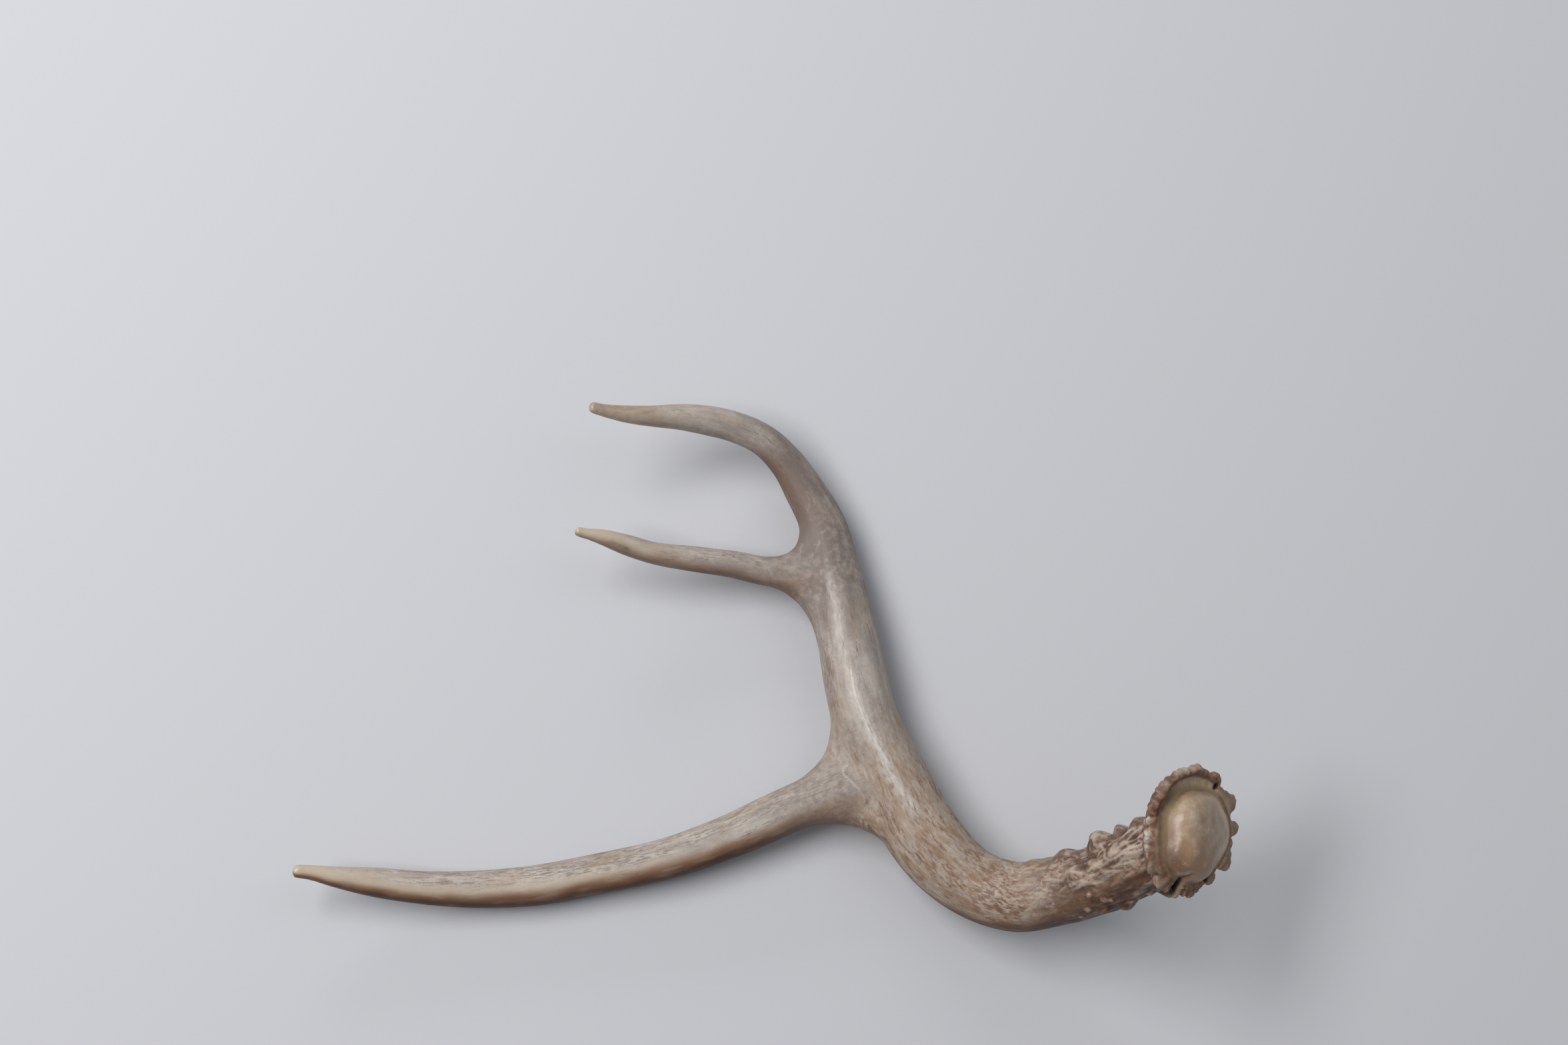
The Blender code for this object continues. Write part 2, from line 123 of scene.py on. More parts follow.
# Round the burr: place in degrees, radius and height of the rim's edge, how far its lip is rolled up, and
# the radius of the seal's edge.
BURR_ROUND = [
    (0, 22.2, -0.6, 0.0, 19.4), (15, 22.3, -0.4, 0.0, 18.7), (30, 22.7, -0.2, 0.0, 17.6),
    (45, 22.2, 0.0, 0.1, 17.3), (62, 22.5, 0.3, 0.5, 16.6), (80, 23.6, 0.5, 0.8, 15.9),
    (95, 24.6, 0.8, 1.0, 15.7), (110, 25.0, 0.8, 1.0, 16.4), (125, 25.8, 0.3, 1.0, 17.0),
    (140, 26.2, -0.5, 1.0, 17.3), (152, 25.6, -1.8, 1.0, 17.5), (162, 24.4, -3.0, 0.7, 17.5),
    (172, 23.4, -4.0, 0.3, 17.0), (185, 23.4, -4.5, 0.0, 16.9), (200, 24.0, -4.7, 0.0, 18.0),
    (215, 24.6, -4.6, 0.0, 20.0), (228, 25.0, -4.2, 0.0, 20.8), (240, 25.2, -3.4, 0.0, 20.0),
    (255, 24.2, -2.3, 0.0, 19.6), (270, 23.0, -1.4, 0.0, 19.5), (285, 21.6, -0.9, 0.0, 18.6),
    (300, 20.5, -0.6, 0.0, 17.0), (315, 20.8, -0.6, 0.0, 17.1), (330, 21.6, -0.8, 0.0, 17.4),
    (345, 21.8, -0.8, 0.0, 19.0),
]
ROUNDED_OVER = 19  # degrees over which those rows run into each other
RIM_BACK = [(9.0, -17.0), (13.5, -14.5), (16.0, -11.0)]  # radius and height where the rim grows from the beam
# Out and up from the rim's edge, and the knobs' share there.
RIM_EDGE = [(-6.0, -6.4, 0.1), (-3.0, -4.8, 0.4), (-1.0, -3.0, 0.8), (0.0, -1.3, 1.0)]
RIM_FACE = [  # share of the way from the moat to the edge, what a rolled lip adds, and the knobs' share
    (0.95, 0.7, 0.85), (0.85, 1.5, 0.50), (0.72, 1.2, 0.15), (0.58, -0.1, 0.0), (0.25, -0.5, 0.0),
    (0.0, 0.0, 0.0),
]
FACE_INSET = 0.6  # how far inside its edge the rim's face ends
# Heights off the rim's face where what counts as its front ends, and where that ends for the holes.
FRONT_DEPTH, HOLE_DEPTH = (-1.8, -0.8), (-6.5, -5.0)
BURR_BACK = (-13.0, -9.0)  # height where the burr's skin runs into the beam's
MOAT, MOAT_WIDTH = -1.0, 0.9  # its height, and how far it lies outside the seal's edge
FILLED_MOAT = 0.7  # how much higher it is on the right
ON_THE_RIGHT = (0.0, 0.0, 0.7)  # place round the burr, and the cosines of the way to it that it lies between
SEAL_DOME = [  # share of the way from the seal's middle to its edge, height, and height on the right
    (1.0, -0.7, 0.2), (0.94, 1.6, 1.4), (0.87, 3.7, 2.6), (0.78, 5.1, 3.8), (0.65, 6.2, 5.2),
    (0.45, 7.0, 6.5), (0.25, 7.4, 7.3), (0.03, 7.5, 7.5),
]
SEAL_LEAN = 0.022  # how much lower the dome is for each millimetre to the right of its middle
SEAL_MIDDLE = (0.8, -1.6)
BURR_KNOBS = [  # place round the rim in degrees, how far it stands out, its half width, its lift
    (4, 5.2, 8, -0.2), (24, 2.0, 5, 0.0), (32, 2.9, 12, 0.2), (31, 1.7, 5, 0.0), (46, 0.8, 6, 0.0),
    (62, 3.0, 8, 0.4), (79, 0.8, 6, 0.2),
    (94, 1.0, 8, 0.5), (117, 1.2, 9, 0.9), (133, 0.5, 7, 0.1), (148, 0.8, 6, 0.2), (157, 0.6, 4, 0.1),
    (163, 0.9, 4, 0.3), (178, -0.8, 5, -0.2), (216, 1.6, 6, 0.5), (224, -0.9, 3, -0.3),
    (232, 1.8, 6, 0.2), (241, 1.2, 4, 0.0), (252, 2.3, 4.5, 0.0), (261, 1.2, 4, 0.0), (270, 1.9, 5, 0.0),
    (279, 0.8, 4, 0.0), (300, 2.0, 8, 0.3), (314, -1.8, 5, 0.0), (332, 3.9, 12, 0.4), (325, 0.8, 5, 0.1),
    (337, -0.5, 2, -0.2), (349, 2.2, 6, 0.1),
]
RIM_PEARLS = [  # little balls on the rim's edge, rubbed pale: place round, radius
    (157.0, 0.8), (171.0, 1.1), (185.0, 1.35), (188.5, 1.2), (196.5, 1.15), (203.0, 0.8), (214.0, 1.0),
    (223.0, 0.9),
]
PEARL_SEAT = (0.4, 0.6)  # how far in from the rim's edge and how far under it they sit
PALE_TOPS = [  # other places where the rim is rubbed: place round, half width, how pale
    (97, 5, 0.40), (107, 4, 0.5), (114, 4, 0.8), (121, 3, 0.6), (216, 4, 0.4), (232, 4, 0.3), (140, 4, 0.2),
]

BEAM_KNOBS = [  # distance from the burr, place round the beam in degrees, height, half length, half width
    (70.0, 20, 1.5, 5.2, 3.2), (54.0, 12, 2.6, 6.5, 4.2), (33.0, 6, 5.0, 7.4, 5.4), (20.0, 2, 3.4, 3.9, 3.4),
    (11.0, -6, 2.2, 4.5, 3.9), (17.5, 186, 4.6, 3.0, 2.6), (32.0, 160, 2.2, 3.9, 2.9),
    (40.0, 142, 2.0, 3.2, 2.6), (44.0, 60, 1.4, 4.5, 2.9), (12.0, 60, 1.6, 5.8, 2.6),
    (24.0, 100, 1.2, 6.5, 2.6), (10.0, 130, 1.0, 5.2, 2.6), (30.0, -70, 2.0, 4.5, 3.2),
    (14.0, -50, 2.2, 3.9, 3.2), (12.0, -110, 2.2, 3.9, 3.2), (46.0, -100, 1.4, 4.5, 2.6),
]
KNOB_SEAT = 13.5  # the beam's radius where they stand
KNOB_SKIRT = 1.3  # how much wider they are where they run out into the beam
PEARLING = {"height": 1.9, "reach": 62.0, "length": 11.0, "width": 3.4, "ends": 136.0}  # ridges by the burr
BEAM_RIDGE = {"height": 0.9, "place": 97.0, "width": 26.0, "from": 140.0, "to": 262.0, "fade": 20.0}
BEAM_EDGE = 2.0  # relief is for the beam alone: it fades out this far off its skin

KEPT_PEARLING = 0.22  # the share of those ridges that stays under the finer ones
ROUGH_FROM, ROUGH_TO = 44.0, 86.0  # the fine ridges fade out between these distances from the burr
STROKES = [  # ridges that stand out by the burr: height, half width, then points (along, place round)
    (0.9, 0.75, [(3.0, 60), (6.0, 52), (9.5, 56), (12.5, 47), (10.0, 33), (5.0, 28), (2.0, 34)]),
    (1.0, 1.5, [(22.0, 52), (17.5, 48), (13.5, 44)]),
    (0.8, 0.7, [(28.0, 28), (25.5, 38), (25.0, 52), (23.0, 60)]),
    (0.8, 0.8, [(25.0, 62), (20.0, 60), (14.0, 60), (8.0, 68), (3.0, 70)]),
    (0.7, 0.7, [(36.0, 66), (31.0, 60), (27.0, 62), (22.0, 72), (17.0, 76), (11.0, 78)]),
    (0.6, 0.7, [(52.0, 62), (46.0, 58), (40.0, 66), (35.0, 74), (30.0, 74)]),
    (0.6, 0.7, [(50.0, 92), (44.0, 88), (38.0, 84), (33.0, 90), (27.0, 86)]),
    (0.6, 0.8, [(26.0, 98), (20.0, 96), (14.0, 94), (8.0, 98)]),
    (0.7, 0.8, [(24.0, 28), (19.0, 22), (14.0, 26), (9.0, 18)]),
    (0.7, 0.8, [(20.0, 128), (13.0, 124), (6.0, 128)]),
    (0.7, 0.9, [(46.9, 84), (40.8, 79), (34.3, 87), (28.8, 85), (20.8, 85), (14.3, 90)]),
    (0.6, 1.0, [(59.0, 35), (52.3, 46), (47.5, 64), (42.2, 54)]),
    (0.6, 0.7, [(22.9, 70), (14.1, 74), (4.7, 72)]),
]
PEARLS = [  # single round lumps by the burr: along, place round, radius, height
    (40.2, 106, 1.3, 0.9), (45.9, 134, 1.6, 1.1), (35.5, 123, 1.8, 1.0), (33.0, 128, 1.3, 0.8),
    (52.0, 150, 1.3, 0.6), (63.0, 112, 1.0, 0.4), (28.0, 150, 1.6, 0.9), (18.0, 152, 1.8, 0.9),
]
GUTTERS = [  # furrows by the burr: depth, half width, then points (along, place round)
    (1.5, 1.5, [(18.5, 112), (13.0, 110), (7.0, 108)]),
    (1.3, 1.5, [(8.5, 41), (7.5, 43)]),
    (1.0, 1.2, [(26.0, 68), (22.0, 66)]),
    (1.0, 1.2, [(46.5, 100), (42.0, 97)]),
    (0.8, 1.2, [(52.0, 77), (50.0, 76)]),
    (0.8, 1.2, [(41.0, 57), (38.0, 58)]),
    (1.0, 1.4, [(37.5, 24), (36.5, 12)]),
    (0.9, 1.2, [(33.0, 42), (31.5, 44)]),
    (1.0, 1.3, [(26.0, 120), (16.0, 136), (6.0, 140)]),
    (0.6, 1.9, [(28.0, 92), (20.5, 98)]),
    (0.5, 1.8, [(53.0, 97), (45.8, 97)]),
    (0.4, 1.4, [(52.0, 79), (51.0, 74)]),
    (0.4, 1.4, [(20.8, 63), (19.4, 67)]),
]
# Lines on the side that lies uppermost, as x and y.
VEIN = [  # a blood vessel's raised line on the first fork
    (38.6, -41.5), (37.6, -42.1), (36.7, -43.7), (37.0, -45.6), (38.6, -47.0), (40.5, -48.7), (42.1, -50.6),
    (43.7, -52.4), (44.8, -54.0), (45.4, -55.7), (45.3, -57.0),
]
VEIN_HEIGHT, VEIN_WIDTH = 0.17, 0.75
THREAD = [  # rubbed white along the ridge of the beam, partly a painted highlight
    (39.8, -2.0), (40.0, -3.9), (40.3, -7.2), (41.1, -11.6), (42.4, -15.7), (44.0, -20.0), (45.9, -25.2),
    (48.0, -29.5), (50.2, -33.0),
]
PALE_RIDGE = [  # the ridge's pale band, partly worn bone and partly a painted highlight
    (31.0, 34.0), (32.4, 29.3), (33.8, 20.8), (35.0, 13.4), (35.6, 7.9), (36.8, 3.9), (38.4, -1.7),
    (40.0, -7.2), (41.0, -11.6), (42.4, -15.7), (44.2, -20.0), (46.4, -25.2), (48.4, -29.5), (50.4, -33.0),
    (53.8, -41.1), (57.2, -47.9), (60.2, -52.4), (64.5, -58.0),
]
PALE_SPOTS = [  # x, y, half length along y, half width along x, how pale
    (35.2, 11.5, 4.5, 2.2, 0.5), (56.0, -45.5, 6.0, 2.0, 0.4), (49.0, -31.0, 5.0, 2.0, 0.25),
    (41.5, -12.0, 9.0, 3.5, 0.35),
]
PALE_TO, PALE_FROM = (6.0, -25.0), (-62.0, -50.0)  # y between which the band is stronger, with soft ends
PALE_BY_BURR = (63.0, 9.0, 82.0, 24.0)  # along the beam, half length, place round, half width
UPPERMOST = 17.0  # height from which on the skin is that side's
LINE_REACH = 9.0  # how far off a line the skin takes notice of it
# Brown patches; those on the lower edges and the two at the beam's tip are partly painted shade.
# Branch (0 the beam, 1 the long, 2 the short tine), along, place round, half length, half width, how brown.
BROWN_PATCHES = [
    (0, 143.0, 168, 7.5, 14, 0.85), (0, 145.0, 133, 6.5, 16, 0.45), (0, 242.7, 55, 2.2, 8, 0.70),
    (0, 120.0, 166, 15.0, 14, 0.45), (0, 98.0, 152, 14.0, 16, 0.35), (0, 196.0, 146, 12.0, 13, 0.30),
    (0, 272.0, 168, 5.0, 12, 0.50), (0, 284.0, 126, 15.0, 40, 0.35), (0, 303.0, 140, 12.0, 32, 0.35),
    (0, 240.0, 128, 12.0, 18, 0.18), (1, 60.0, 160, 30.0, 26, 0.25),
    (0, 206.0, 136, 6.0, 9, 0.40), (0, 86.0, 98, 15.0, 46, 1.0),
    (0, 108.0, 140, 14.0, 22, 0.45), (0, 46.0, 108, 14.0, 18, 0.75), (0, 66.0, 60, 8.0, 20, 0.30),
    (0, 382.0, 60, 20.0, 130, 0.50), (0, 382.0, -120, 20.0, 130, 0.50), (2, 50.0, 150, 30.0, 40, 0.16),
    (1, 213.0, 138, 7.0, 10, 0.45), (1, 192.0, 142, 8.0, 9, 0.50), (1, 30.0, 175, 12.0, 20, 0.40),
    (2, 21.0, 84, 3.5, 13, 0.50), (2, 90.0, 118, 6.0, 24, 0.85), (2, 14.0, 100, 3.0, 10, 0.40),
]
# Darker places on the upper beam and hook, partly painted shade.
DUSKY_PLACES = [  # along the beam, place round, half length, half width, how much darker
    (290.0, 124.0, 15.0, 55.0, 0.95), (246.0, 128.0, 14.0, 45.0, 0.40), (268.0, 150.0, 8.0, 40.0, 0.50),
]

# Arcs round a branch in degrees, from 0 to 360: where a mark starts, is full, ends and is gone.
STAIN_AND_SHADE_ON_TINE = [(94.0, 126.0, 230.0, 268.0), (114.0, 150.0, 220.0, 250.0)]  # the soft staining and painted shade, and the dark
STAIN_AND_SHADE_ON_HOOK = [(108.0, 150.0, 220.0, 255.0), (130.0, 165.0, 220.0, 250.0)]
MOTTLED_TINE = (60.0, 90.0, 194.0, 214.0)
MOTTLED_SHIFT = 120.0  # what is added to the place round the tine, so that the arc doesn't pass 360
MOTTLED_LEFT = (108.0, 128.0, 170.0, 200.0)
CREAM_ARC = (76.0, 92.0, 104.0, 124.0)
# Stretches along a branch in millimetres: from where to where a mark comes in, or goes out.
STAIN_AND_SHADE_ENDS = (80.0, 150.0)
HOOK_STARTS, HOOK_FADES = (268.0, 290.0), (305.0, 330.0)
TINE_STAIN_AND_SHADE_STARTS = (20.0, 70.0)
MOTTLED_STARTS, MOTTLED_ENDS = (170.0, 200.0), (235.0, 262.0)
MOTTLED_TO_TIP = (14.0, 55.0)
FLECKS_START, FLECKS_END = (35.0, 70.0), (135.0, 205.0)
DUSK_STARTS, DUSK_DEEPENS, DUSK_FADES = (194.0, 232.0), (242.0, 268.0), (300.0, 334.0)
DUSKY_ROOT = (25.0, 60.0)
CREAM_STARTS = (60.0, 110.0)
TIP_WORN = (4.0, 62.0)

# Places round the burr in degrees, with a half width or the cosines of the way to them.
BEAD_ROWS = [  # strength, place, half width, and the share of the way over the rim's face
    (1.0, 184.0, 30.0, 0.52, 0.75), (0.75, 228.0, 17.0, -0.1, 0.2),
]
# Where the lobes lie round the burr; their pale coat is partly painted light.
LOBES = (2.0, 0.35, 0.75)
# Where the moat's olive is strongest, under the lip: partly its own tinge and partly painted shade.
DARK_MOAT = (135.0, -0.6, 0.4)
# TOP_FACE: the rim's top, where its face is lit up as painted light; LOW_LEFT: where the seal and rim are
# darker low on the left, partly painted shade.
SKIRT, TOP_FACE, LOW_LEFT = (-88.0, 34.0), (92.0, 38.0), (-145.0, 26.0)

BURR_HOLES = [  # in the rim: place round, radius, half length along the radius, half width, depth
    (58, 20.4, 1.3, 1.2, 2.2),
    (-68, 19.2, 1.2, 1.2, 2.2),
    (-112, 23.0, 4.4, 1.5, 4.5),
]

FLUTED_BELOW = (-98.0, 42.0)  # place round and half width of the arc where the flutes stay deep in front
RIM_RADIUS, RIM_STEEPNESS = 21.0, 1.4  # for the flutes' grain: how far out, and out for each millimetre up
BASE_LUMPS = [  # by the burr: height, length, width, the noise's seed, how far it is warped
    (0.30, 11.0, 4.4, 23, 1.6), (0.06, 4.5, 2.2, 24, 0.8), (0.03, 1.8, 1.1, 25, 0.0),
]
LONG_SWELLS = [  # on every branch: height, length, width, the noise's seed
    (0.35, 38.0, 13.0, 31), (0.16, 30.0, 4.2, 32), (0.05, 12.0, 1.3, 33),
]

CELLS = 256  # after so many, noise repeats
FAR = 99.0  # more than any distance that is compared with it
TINE_ROOT = 20.0  # how far inside the beam a tine still counts
BULGE = 1.3  # skin that is more half widths than this from its line bulges out to a fork
GRAINS_APART = 500.0  # so that each branch has noise of its own
BURR_REACH = 40.0  # from the burr's axis
RING_SIDES, BURR_SIDES = 48, 420
STEP, BURR_STEP = 1.0, 0.7  # between the rings of a branch, and of the burr
COARSE_VOXEL, FINE_VOXEL = 1.1, 0.45
BLEND_PASSES, SKIN_PASSES = 90, 3
TRIANGLES = 196000

# ---------------------------------------------------------------- colours

GREY_BONE = (0.315, 0.275, 0.248, 1.0)
PALE_BONE = (0.47, 0.420, 0.375, 1.0)
# Rubbed bone, also laid on the beam's ridge and thread as a painted highlight.
RUBBED_BONE_AND_SHEEN = (0.60, 0.560, 0.525, 1.0)
WARM_BONE = (0.37, 0.272, 0.192, 1.0)
# For the darker upper beam, partly its own tone and partly painted shade.
DUSKY_BONE = (0.165, 0.128, 0.110, 1.0)
MOTTLE_BROWN = (0.190, 0.140, 0.098, 1.0)
DARK_FIBRE = (0.13, 0.098, 0.078, 1.0)
BROWN_FLECK = (0.148, 0.078, 0.044, 1.0)
ROUGH_TAN = (0.325, 0.235, 0.178, 1.0)
ROUGH_BROWN = (0.108, 0.057, 0.035, 1.0)
GUTTER_BROWN = (0.060, 0.029, 0.018, 1.0)
CREST_PALE = (0.52, 0.435, 0.355, 1.0)
# Brown staining of the lower sides, partly painted shade: soft, then dark.
SOFT_STAIN_AND_SHADE = (0.21, 0.105, 0.048, 1.0)
DARK_STAIN_AND_SHADE = (0.052, 0.018, 0.007, 1.0)
IVORY = (0.46, 0.380, 0.292, 1.0)
CREAM = (0.43, 0.352, 0.272, 1.0)
SEAL_TAN = (0.42, 0.325, 0.245, 1.0)
SEAL_BROWN = (0.32, 0.222, 0.150, 1.0)
# The seal's lower part, partly its own brown and partly painted shade.
SEAL_LOW = (0.31, 0.188, 0.112, 1.0)
# The seal's right side, partly its own paler tone and partly painted light.
SEAL_SIDE = (0.62, 0.445, 0.310, 1.0)
SEAL_OLIVE = (0.33, 0.240, 0.125, 1.0)
RIM_TAN = (0.27, 0.178, 0.115, 1.0)
RIM_BROWN = (0.14, 0.078, 0.048, 1.0)
FACE_TAN = (0.15, 0.090, 0.050, 1.0)
# The rim's face at the top: its pale tone, lit up further as painted light where the lip shades it.
FACE_PALE = (0.58, 0.450, 0.310, 1.0)
# The lobes on the right: their tan, partly painted light.
LOBE_TAN = (0.46, 0.325, 0.220, 1.0)
LIP_BROWN = (0.085, 0.040, 0.026, 1.0)
LIP_RUST = (0.33, 0.180, 0.105, 1.0)
PEARL = (0.52, 0.460, 0.370, 1.0)
# Painted shade inside the rim's holes.
HOLE_SHADE = (0.020, 0.011, 0.008, 1.0)

# ---------------------------------------------------------------- stage and lamps, in metres and watts

CAMERA_ELEVATION = 80.0
CAMERA_DISTANCE = 0.915
CAMERA_LENS = 50.0
LOOK_AT = Vector((12.5, 60.5, 14.0)) * MM  # the middle of the picture
FLOOR_SIZE = 6.0
FLOOR_GREY = (0.52, 0.53, 0.56, 1.0)
LAMPS = [  # name, width, height, power, place, colour
    ("key", 1.8, 0.55, 36.5, (-1.00, 0.45, 1.60), (1.0, 0.985, 0.97)),
    ("far", 0.75, 0.25, 4.5, (-0.45, 1.60, 0.60), (1.0, 1.0, 1.0)),
    ("fill", 1.2, 1.2, 5.0, (1.20, 0.70, 1.50), (1.0, 1.0, 1.0)),
]
AMBIENT, AMBIENT_TINT = 0.24, (0.94, 0.96, 1.0, 1.0)


# ---------------------------------------------------------------- noise and soft edges

def picked(cell, order):
    """A number below CELLS for each cell, from its three whole coordinates."""
    x, y, z = (cell % CELLS).T
    return order[(order[(order[x] + y) % CELLS] + z) % CELLS]


def gradient_noise(points, seed):
    """Smooth noise, about -1 to 1 and one swell to a unit, at an array of points."""
    chance = np.random.default_rng(seed)
    slopes = chance.normal(size=(CELLS, 3))
    slopes /= np.linalg.norm(slopes, axis=1)[:, None]
    order = chance.permutation(CELLS)
    cell = np.floor(points).astype(int)
    inside = points - cell
    fade = inside**3 * (inside * (inside * 6 - 15) + 10)
    total = np.zeros(len(points))
    for corner in itertools.product((0, 1), repeat=3):
        slope = slopes[picked(cell + corner, order)]
        share = np.prod(np.where(corner, fade, 1 - fade), axis=1)
        total += share * ((inside - corner) * slope).sum(1)
    return 1.6 * total


def cell_noise(points, seed):
    """Scattered spots, one to a unit cube: the distance from each point to the nearest."""
    chance = np.random.default_rng(seed)
    scatter = chance.random((CELLS, 3))
    order = chance.permutation(CELLS)
    cell = np.floor(points).astype(int)
    nearest = np.full(len(points), FAR)
    for shift in itertools.product((-1, 0, 1), repeat=3):
        spot = cell + shift + scatter[picked(cell + shift, order)]
        nearest = np.minimum(nearest, np.linalg.norm(spot - points, axis=1))
    return nearest


def between(value, low, high):
    """0 up to low, 1 from high on, and a smooth rise from one to the other."""
    t = np.clip((value - low) / (high - low), 0.0, 1.0)
    return t * t * (3 - 2 * t)


def bell(value, width):
    """1 at 0, falling off smoothly to both sides."""
    return np.exp(-((value / width) ** 2))


def blob(off, length, across, width):
    """1 at the middle of a spot, falling off smoothly all round it."""
    return np.exp(-((off / length) ** 2) - (across / width) ** 2)


def dome(value):
    """1 at 0 and 0 from 1 on, like a ball's height."""
    return np.clip(1.0 - value**2, 0.0, None)


def turned(turn, place):
    """The way round in degrees from a place to each angle, between -180 and 180."""
    return (turn - place + 180.0) % 360.0 - 180.0


def arc(turn, place, width):
    """1 round a place, falling off past so many degrees to each side of it."""
    return np.exp(-((turned(turn, place) / width) ** 4))


def from_to(turn, start, full, end, none):
    """1 from full to end, in degrees from 0 to 360, fading to start and to none."""
    turn = turn % 360.0
    return between(turn, start, full) * (1.0 - between(turn, end, none))


def facing(turn, place, low, high):
    """1 round a place and 0 opposite it, rising from one cosine of the way round to another."""
    return between(np.cos(np.radians(turn - place)), low, high)


# ---------------------------------------------------------------- centre lines

def through(rows, step):
    """The rows of a station table joined by one smooth curve, a row about every step millimetres."""
    rows = np.array(rows, float)
    gaps = np.linalg.norm(np.diff(rows[:, :3], axis=0), axis=1)
    at = np.concatenate([[0.0], np.cumsum(gaps)])
    slopes = np.gradient(rows, at, axis=0)
    made = []
    for i, gap in enumerate(gaps):
        for t in np.arange(0.0, 1.0, 1.0 / max(1, round(gap / step))):
            made.append(
                (2 * t**3 - 3 * t**2 + 1) * rows[i]
                + (t**3 - 2 * t**2 + t) * gap * slopes[i]
                + (3 * t**2 - 2 * t**3) * rows[i + 1]
                + (t**3 - t**2) * gap * slopes[i + 1]
            )
    return np.array(made + [rows[-1]])


class Branch:
    """A centre line with, at each sample, the direction it runs in and its two half widths."""

    def __init__(self, rows):
        rows = through(rows, STEP)
        self.centre = rows[:, :3]
        self.half = rows[:, 3:] / 2
        self.run = np.gradient(self.centre, axis=0)
        self.along = np.concatenate(
            [[0.0], np.cumsum(np.linalg.norm(np.diff(self.centre, axis=0), axis=1))]
        )
        self.run /= np.linalg.norm(self.run, axis=1)[:, None]
        self.side = np.cross(self.run, (0.0, 0.0, 1.0))
        self.side /= np.linalg.norm(self.side, axis=1)[:, None]
        self.top = np.cross(self.side, self.run)

    def rings(self, sides):
        """Rings along the branch, with a rounded end: the last ones close over it."""
        turn = np.linspace(0.0, 2 * math.pi, sides, endpoint=False)[:, None]
        rings = [
            centre + np.cos(turn) * half[0] * side + np.sin(turn) * half[1] * top
            for centre, half, side, top in zip(self.centre, self.half, self.side, self.top)
        ]
        end, ahead = self.centre[-1], self.run[-1] * self.half[-1].mean() * BLUNT
        last = rings[-1] - end
        for lift in np.radians((15.0, 30.0, 45.0, 60.0, 75.0)):
            rings.append(end + last * math.cos(lift) + ahead * math.sin(lift))
        return rings, end + ahead

    def places(self, points):
        """(distance along, angle round in degrees, distance out, the branch's half width) at each point."""
        tree = kdtree.KDTree(len(self.centre))
        for i, centre in enumerate(self.centre):
            tree.insert(centre, i)
        tree.balance()
        nearest = np.array([tree.find(p)[1] for p in points])
        offset = points - self.centre[nearest]
        ahead = (offset * self.run[nearest]).sum(1)
        across = (offset * self.side[nearest]).sum(1)
        up = (offset * self.top[nearest]).sum(1)
        turn = np.degrees(np.arctan2(up, across))
        return self.along[nearest] + ahead, turn, np.hypot(across, up), self.half[nearest].mean(1)


# ---------------------------------------------------------------- meshes

def mesh_of_rings(name, rings, first, last):
    """A closed mesh of rings of points, with a point at each end. Its numbers are millimetres."""
    mesh = bmesh.new()
    loops = [[mesh.verts.new(p) for p in ring] for ring in rings]
    ends = mesh.verts.new(first), mesh.verts.new(last)
    count = len(loops[0])
    for k in range(count):
        n = (k + 1) % count
        mesh.faces.new((ends[0], loops[0][n], loops[0][k]))
        mesh.faces.new((ends[1], loops[-1][k], loops[-1][n]))
        for low, high in zip(loops, loops[1:]):
            mesh.faces.new((low[k], low[n], high[n], high[k]))
    bmesh.ops.recalc_face_normals(mesh, faces=mesh.faces)
    data = bpy.data.meshes.new(name)
    mesh.to_mesh(data)
    mesh.free()
    return data


def linked(name, data):
    """A new object of the scene."""
    made = bpy.data.objects.new(name, data)
    bpy.context.scene.collection.objects.link(made)
    return made


def joined(name, meshes):
    """One object of several closed meshes, laid into each other."""
    whole = bmesh.new()
    for data in meshes:
        whole.from_mesh(data)
    data = bpy.data.meshes.new(name)
    whole.to_mesh(data)
    whole.free()
    return linked(name, data)


def with_modifiers_applied(made):
    bpy.context.view_layer.update()
    data = bpy.data.meshes.new_from_object(made.evaluated_get(bpy.context.evaluated_depsgraph_get()))
    made.modifiers.clear()
    made.data = data


def one_skin(made, voxel):
    """The shapes of an object grown together, on an even net of quads."""
    skin = made.modifiers.new("one skin", "REMESH")
    skin.mode = "VOXEL"
    skin.voxel_size = voxel
    with_modifiers_applied(made)


def smoothed(made, passes, weight=None):
    """Evens out the skin, all over or as a weight for each of its points says."""
    smooth = made.modifiers.new("smooth", "SMOOTH")
    smooth.factor = 0.5
    smooth.iterations = passes
    if weight is not None:
        group = made.vertex_groups.new(name="smooth")
        for i in np.flatnonzero(weight > 0.0):
            group.add([int(i)], float(weight[i]), "REPLACE")
        smooth.vertex_group = group.name
    with_modifiers_applied(made)


def thinned(made, triangles):
    """The same surface with fewer triangles, most of them where it is knobbly."""
    made.modifiers.new("triangles", "TRIANGULATE")
    with_modifiers_applied(made)
    fewer = made.modifiers.new("fewer", "DECIMATE")
    fewer.ratio = min(1.0, triangles / len(made.data.polygons))
    with_modifiers_applied(made)


def read(data, what):
    """Points or normals of a mesh as an array."""
    flat = np.empty(len(data.vertices) * 3, np.float32)
    data.vertices.foreach_get(what, flat)
    return flat.reshape(-1, 3).astype(float)


def raised(made, height):
    """Moves each point of the skin out by its height."""
    points = read(made.data, "co") + read(made.data, "normal") * height[:, None]
    made.data.vertices.foreach_set("co", points.astype(np.float32).ravel())
    made.data.update()


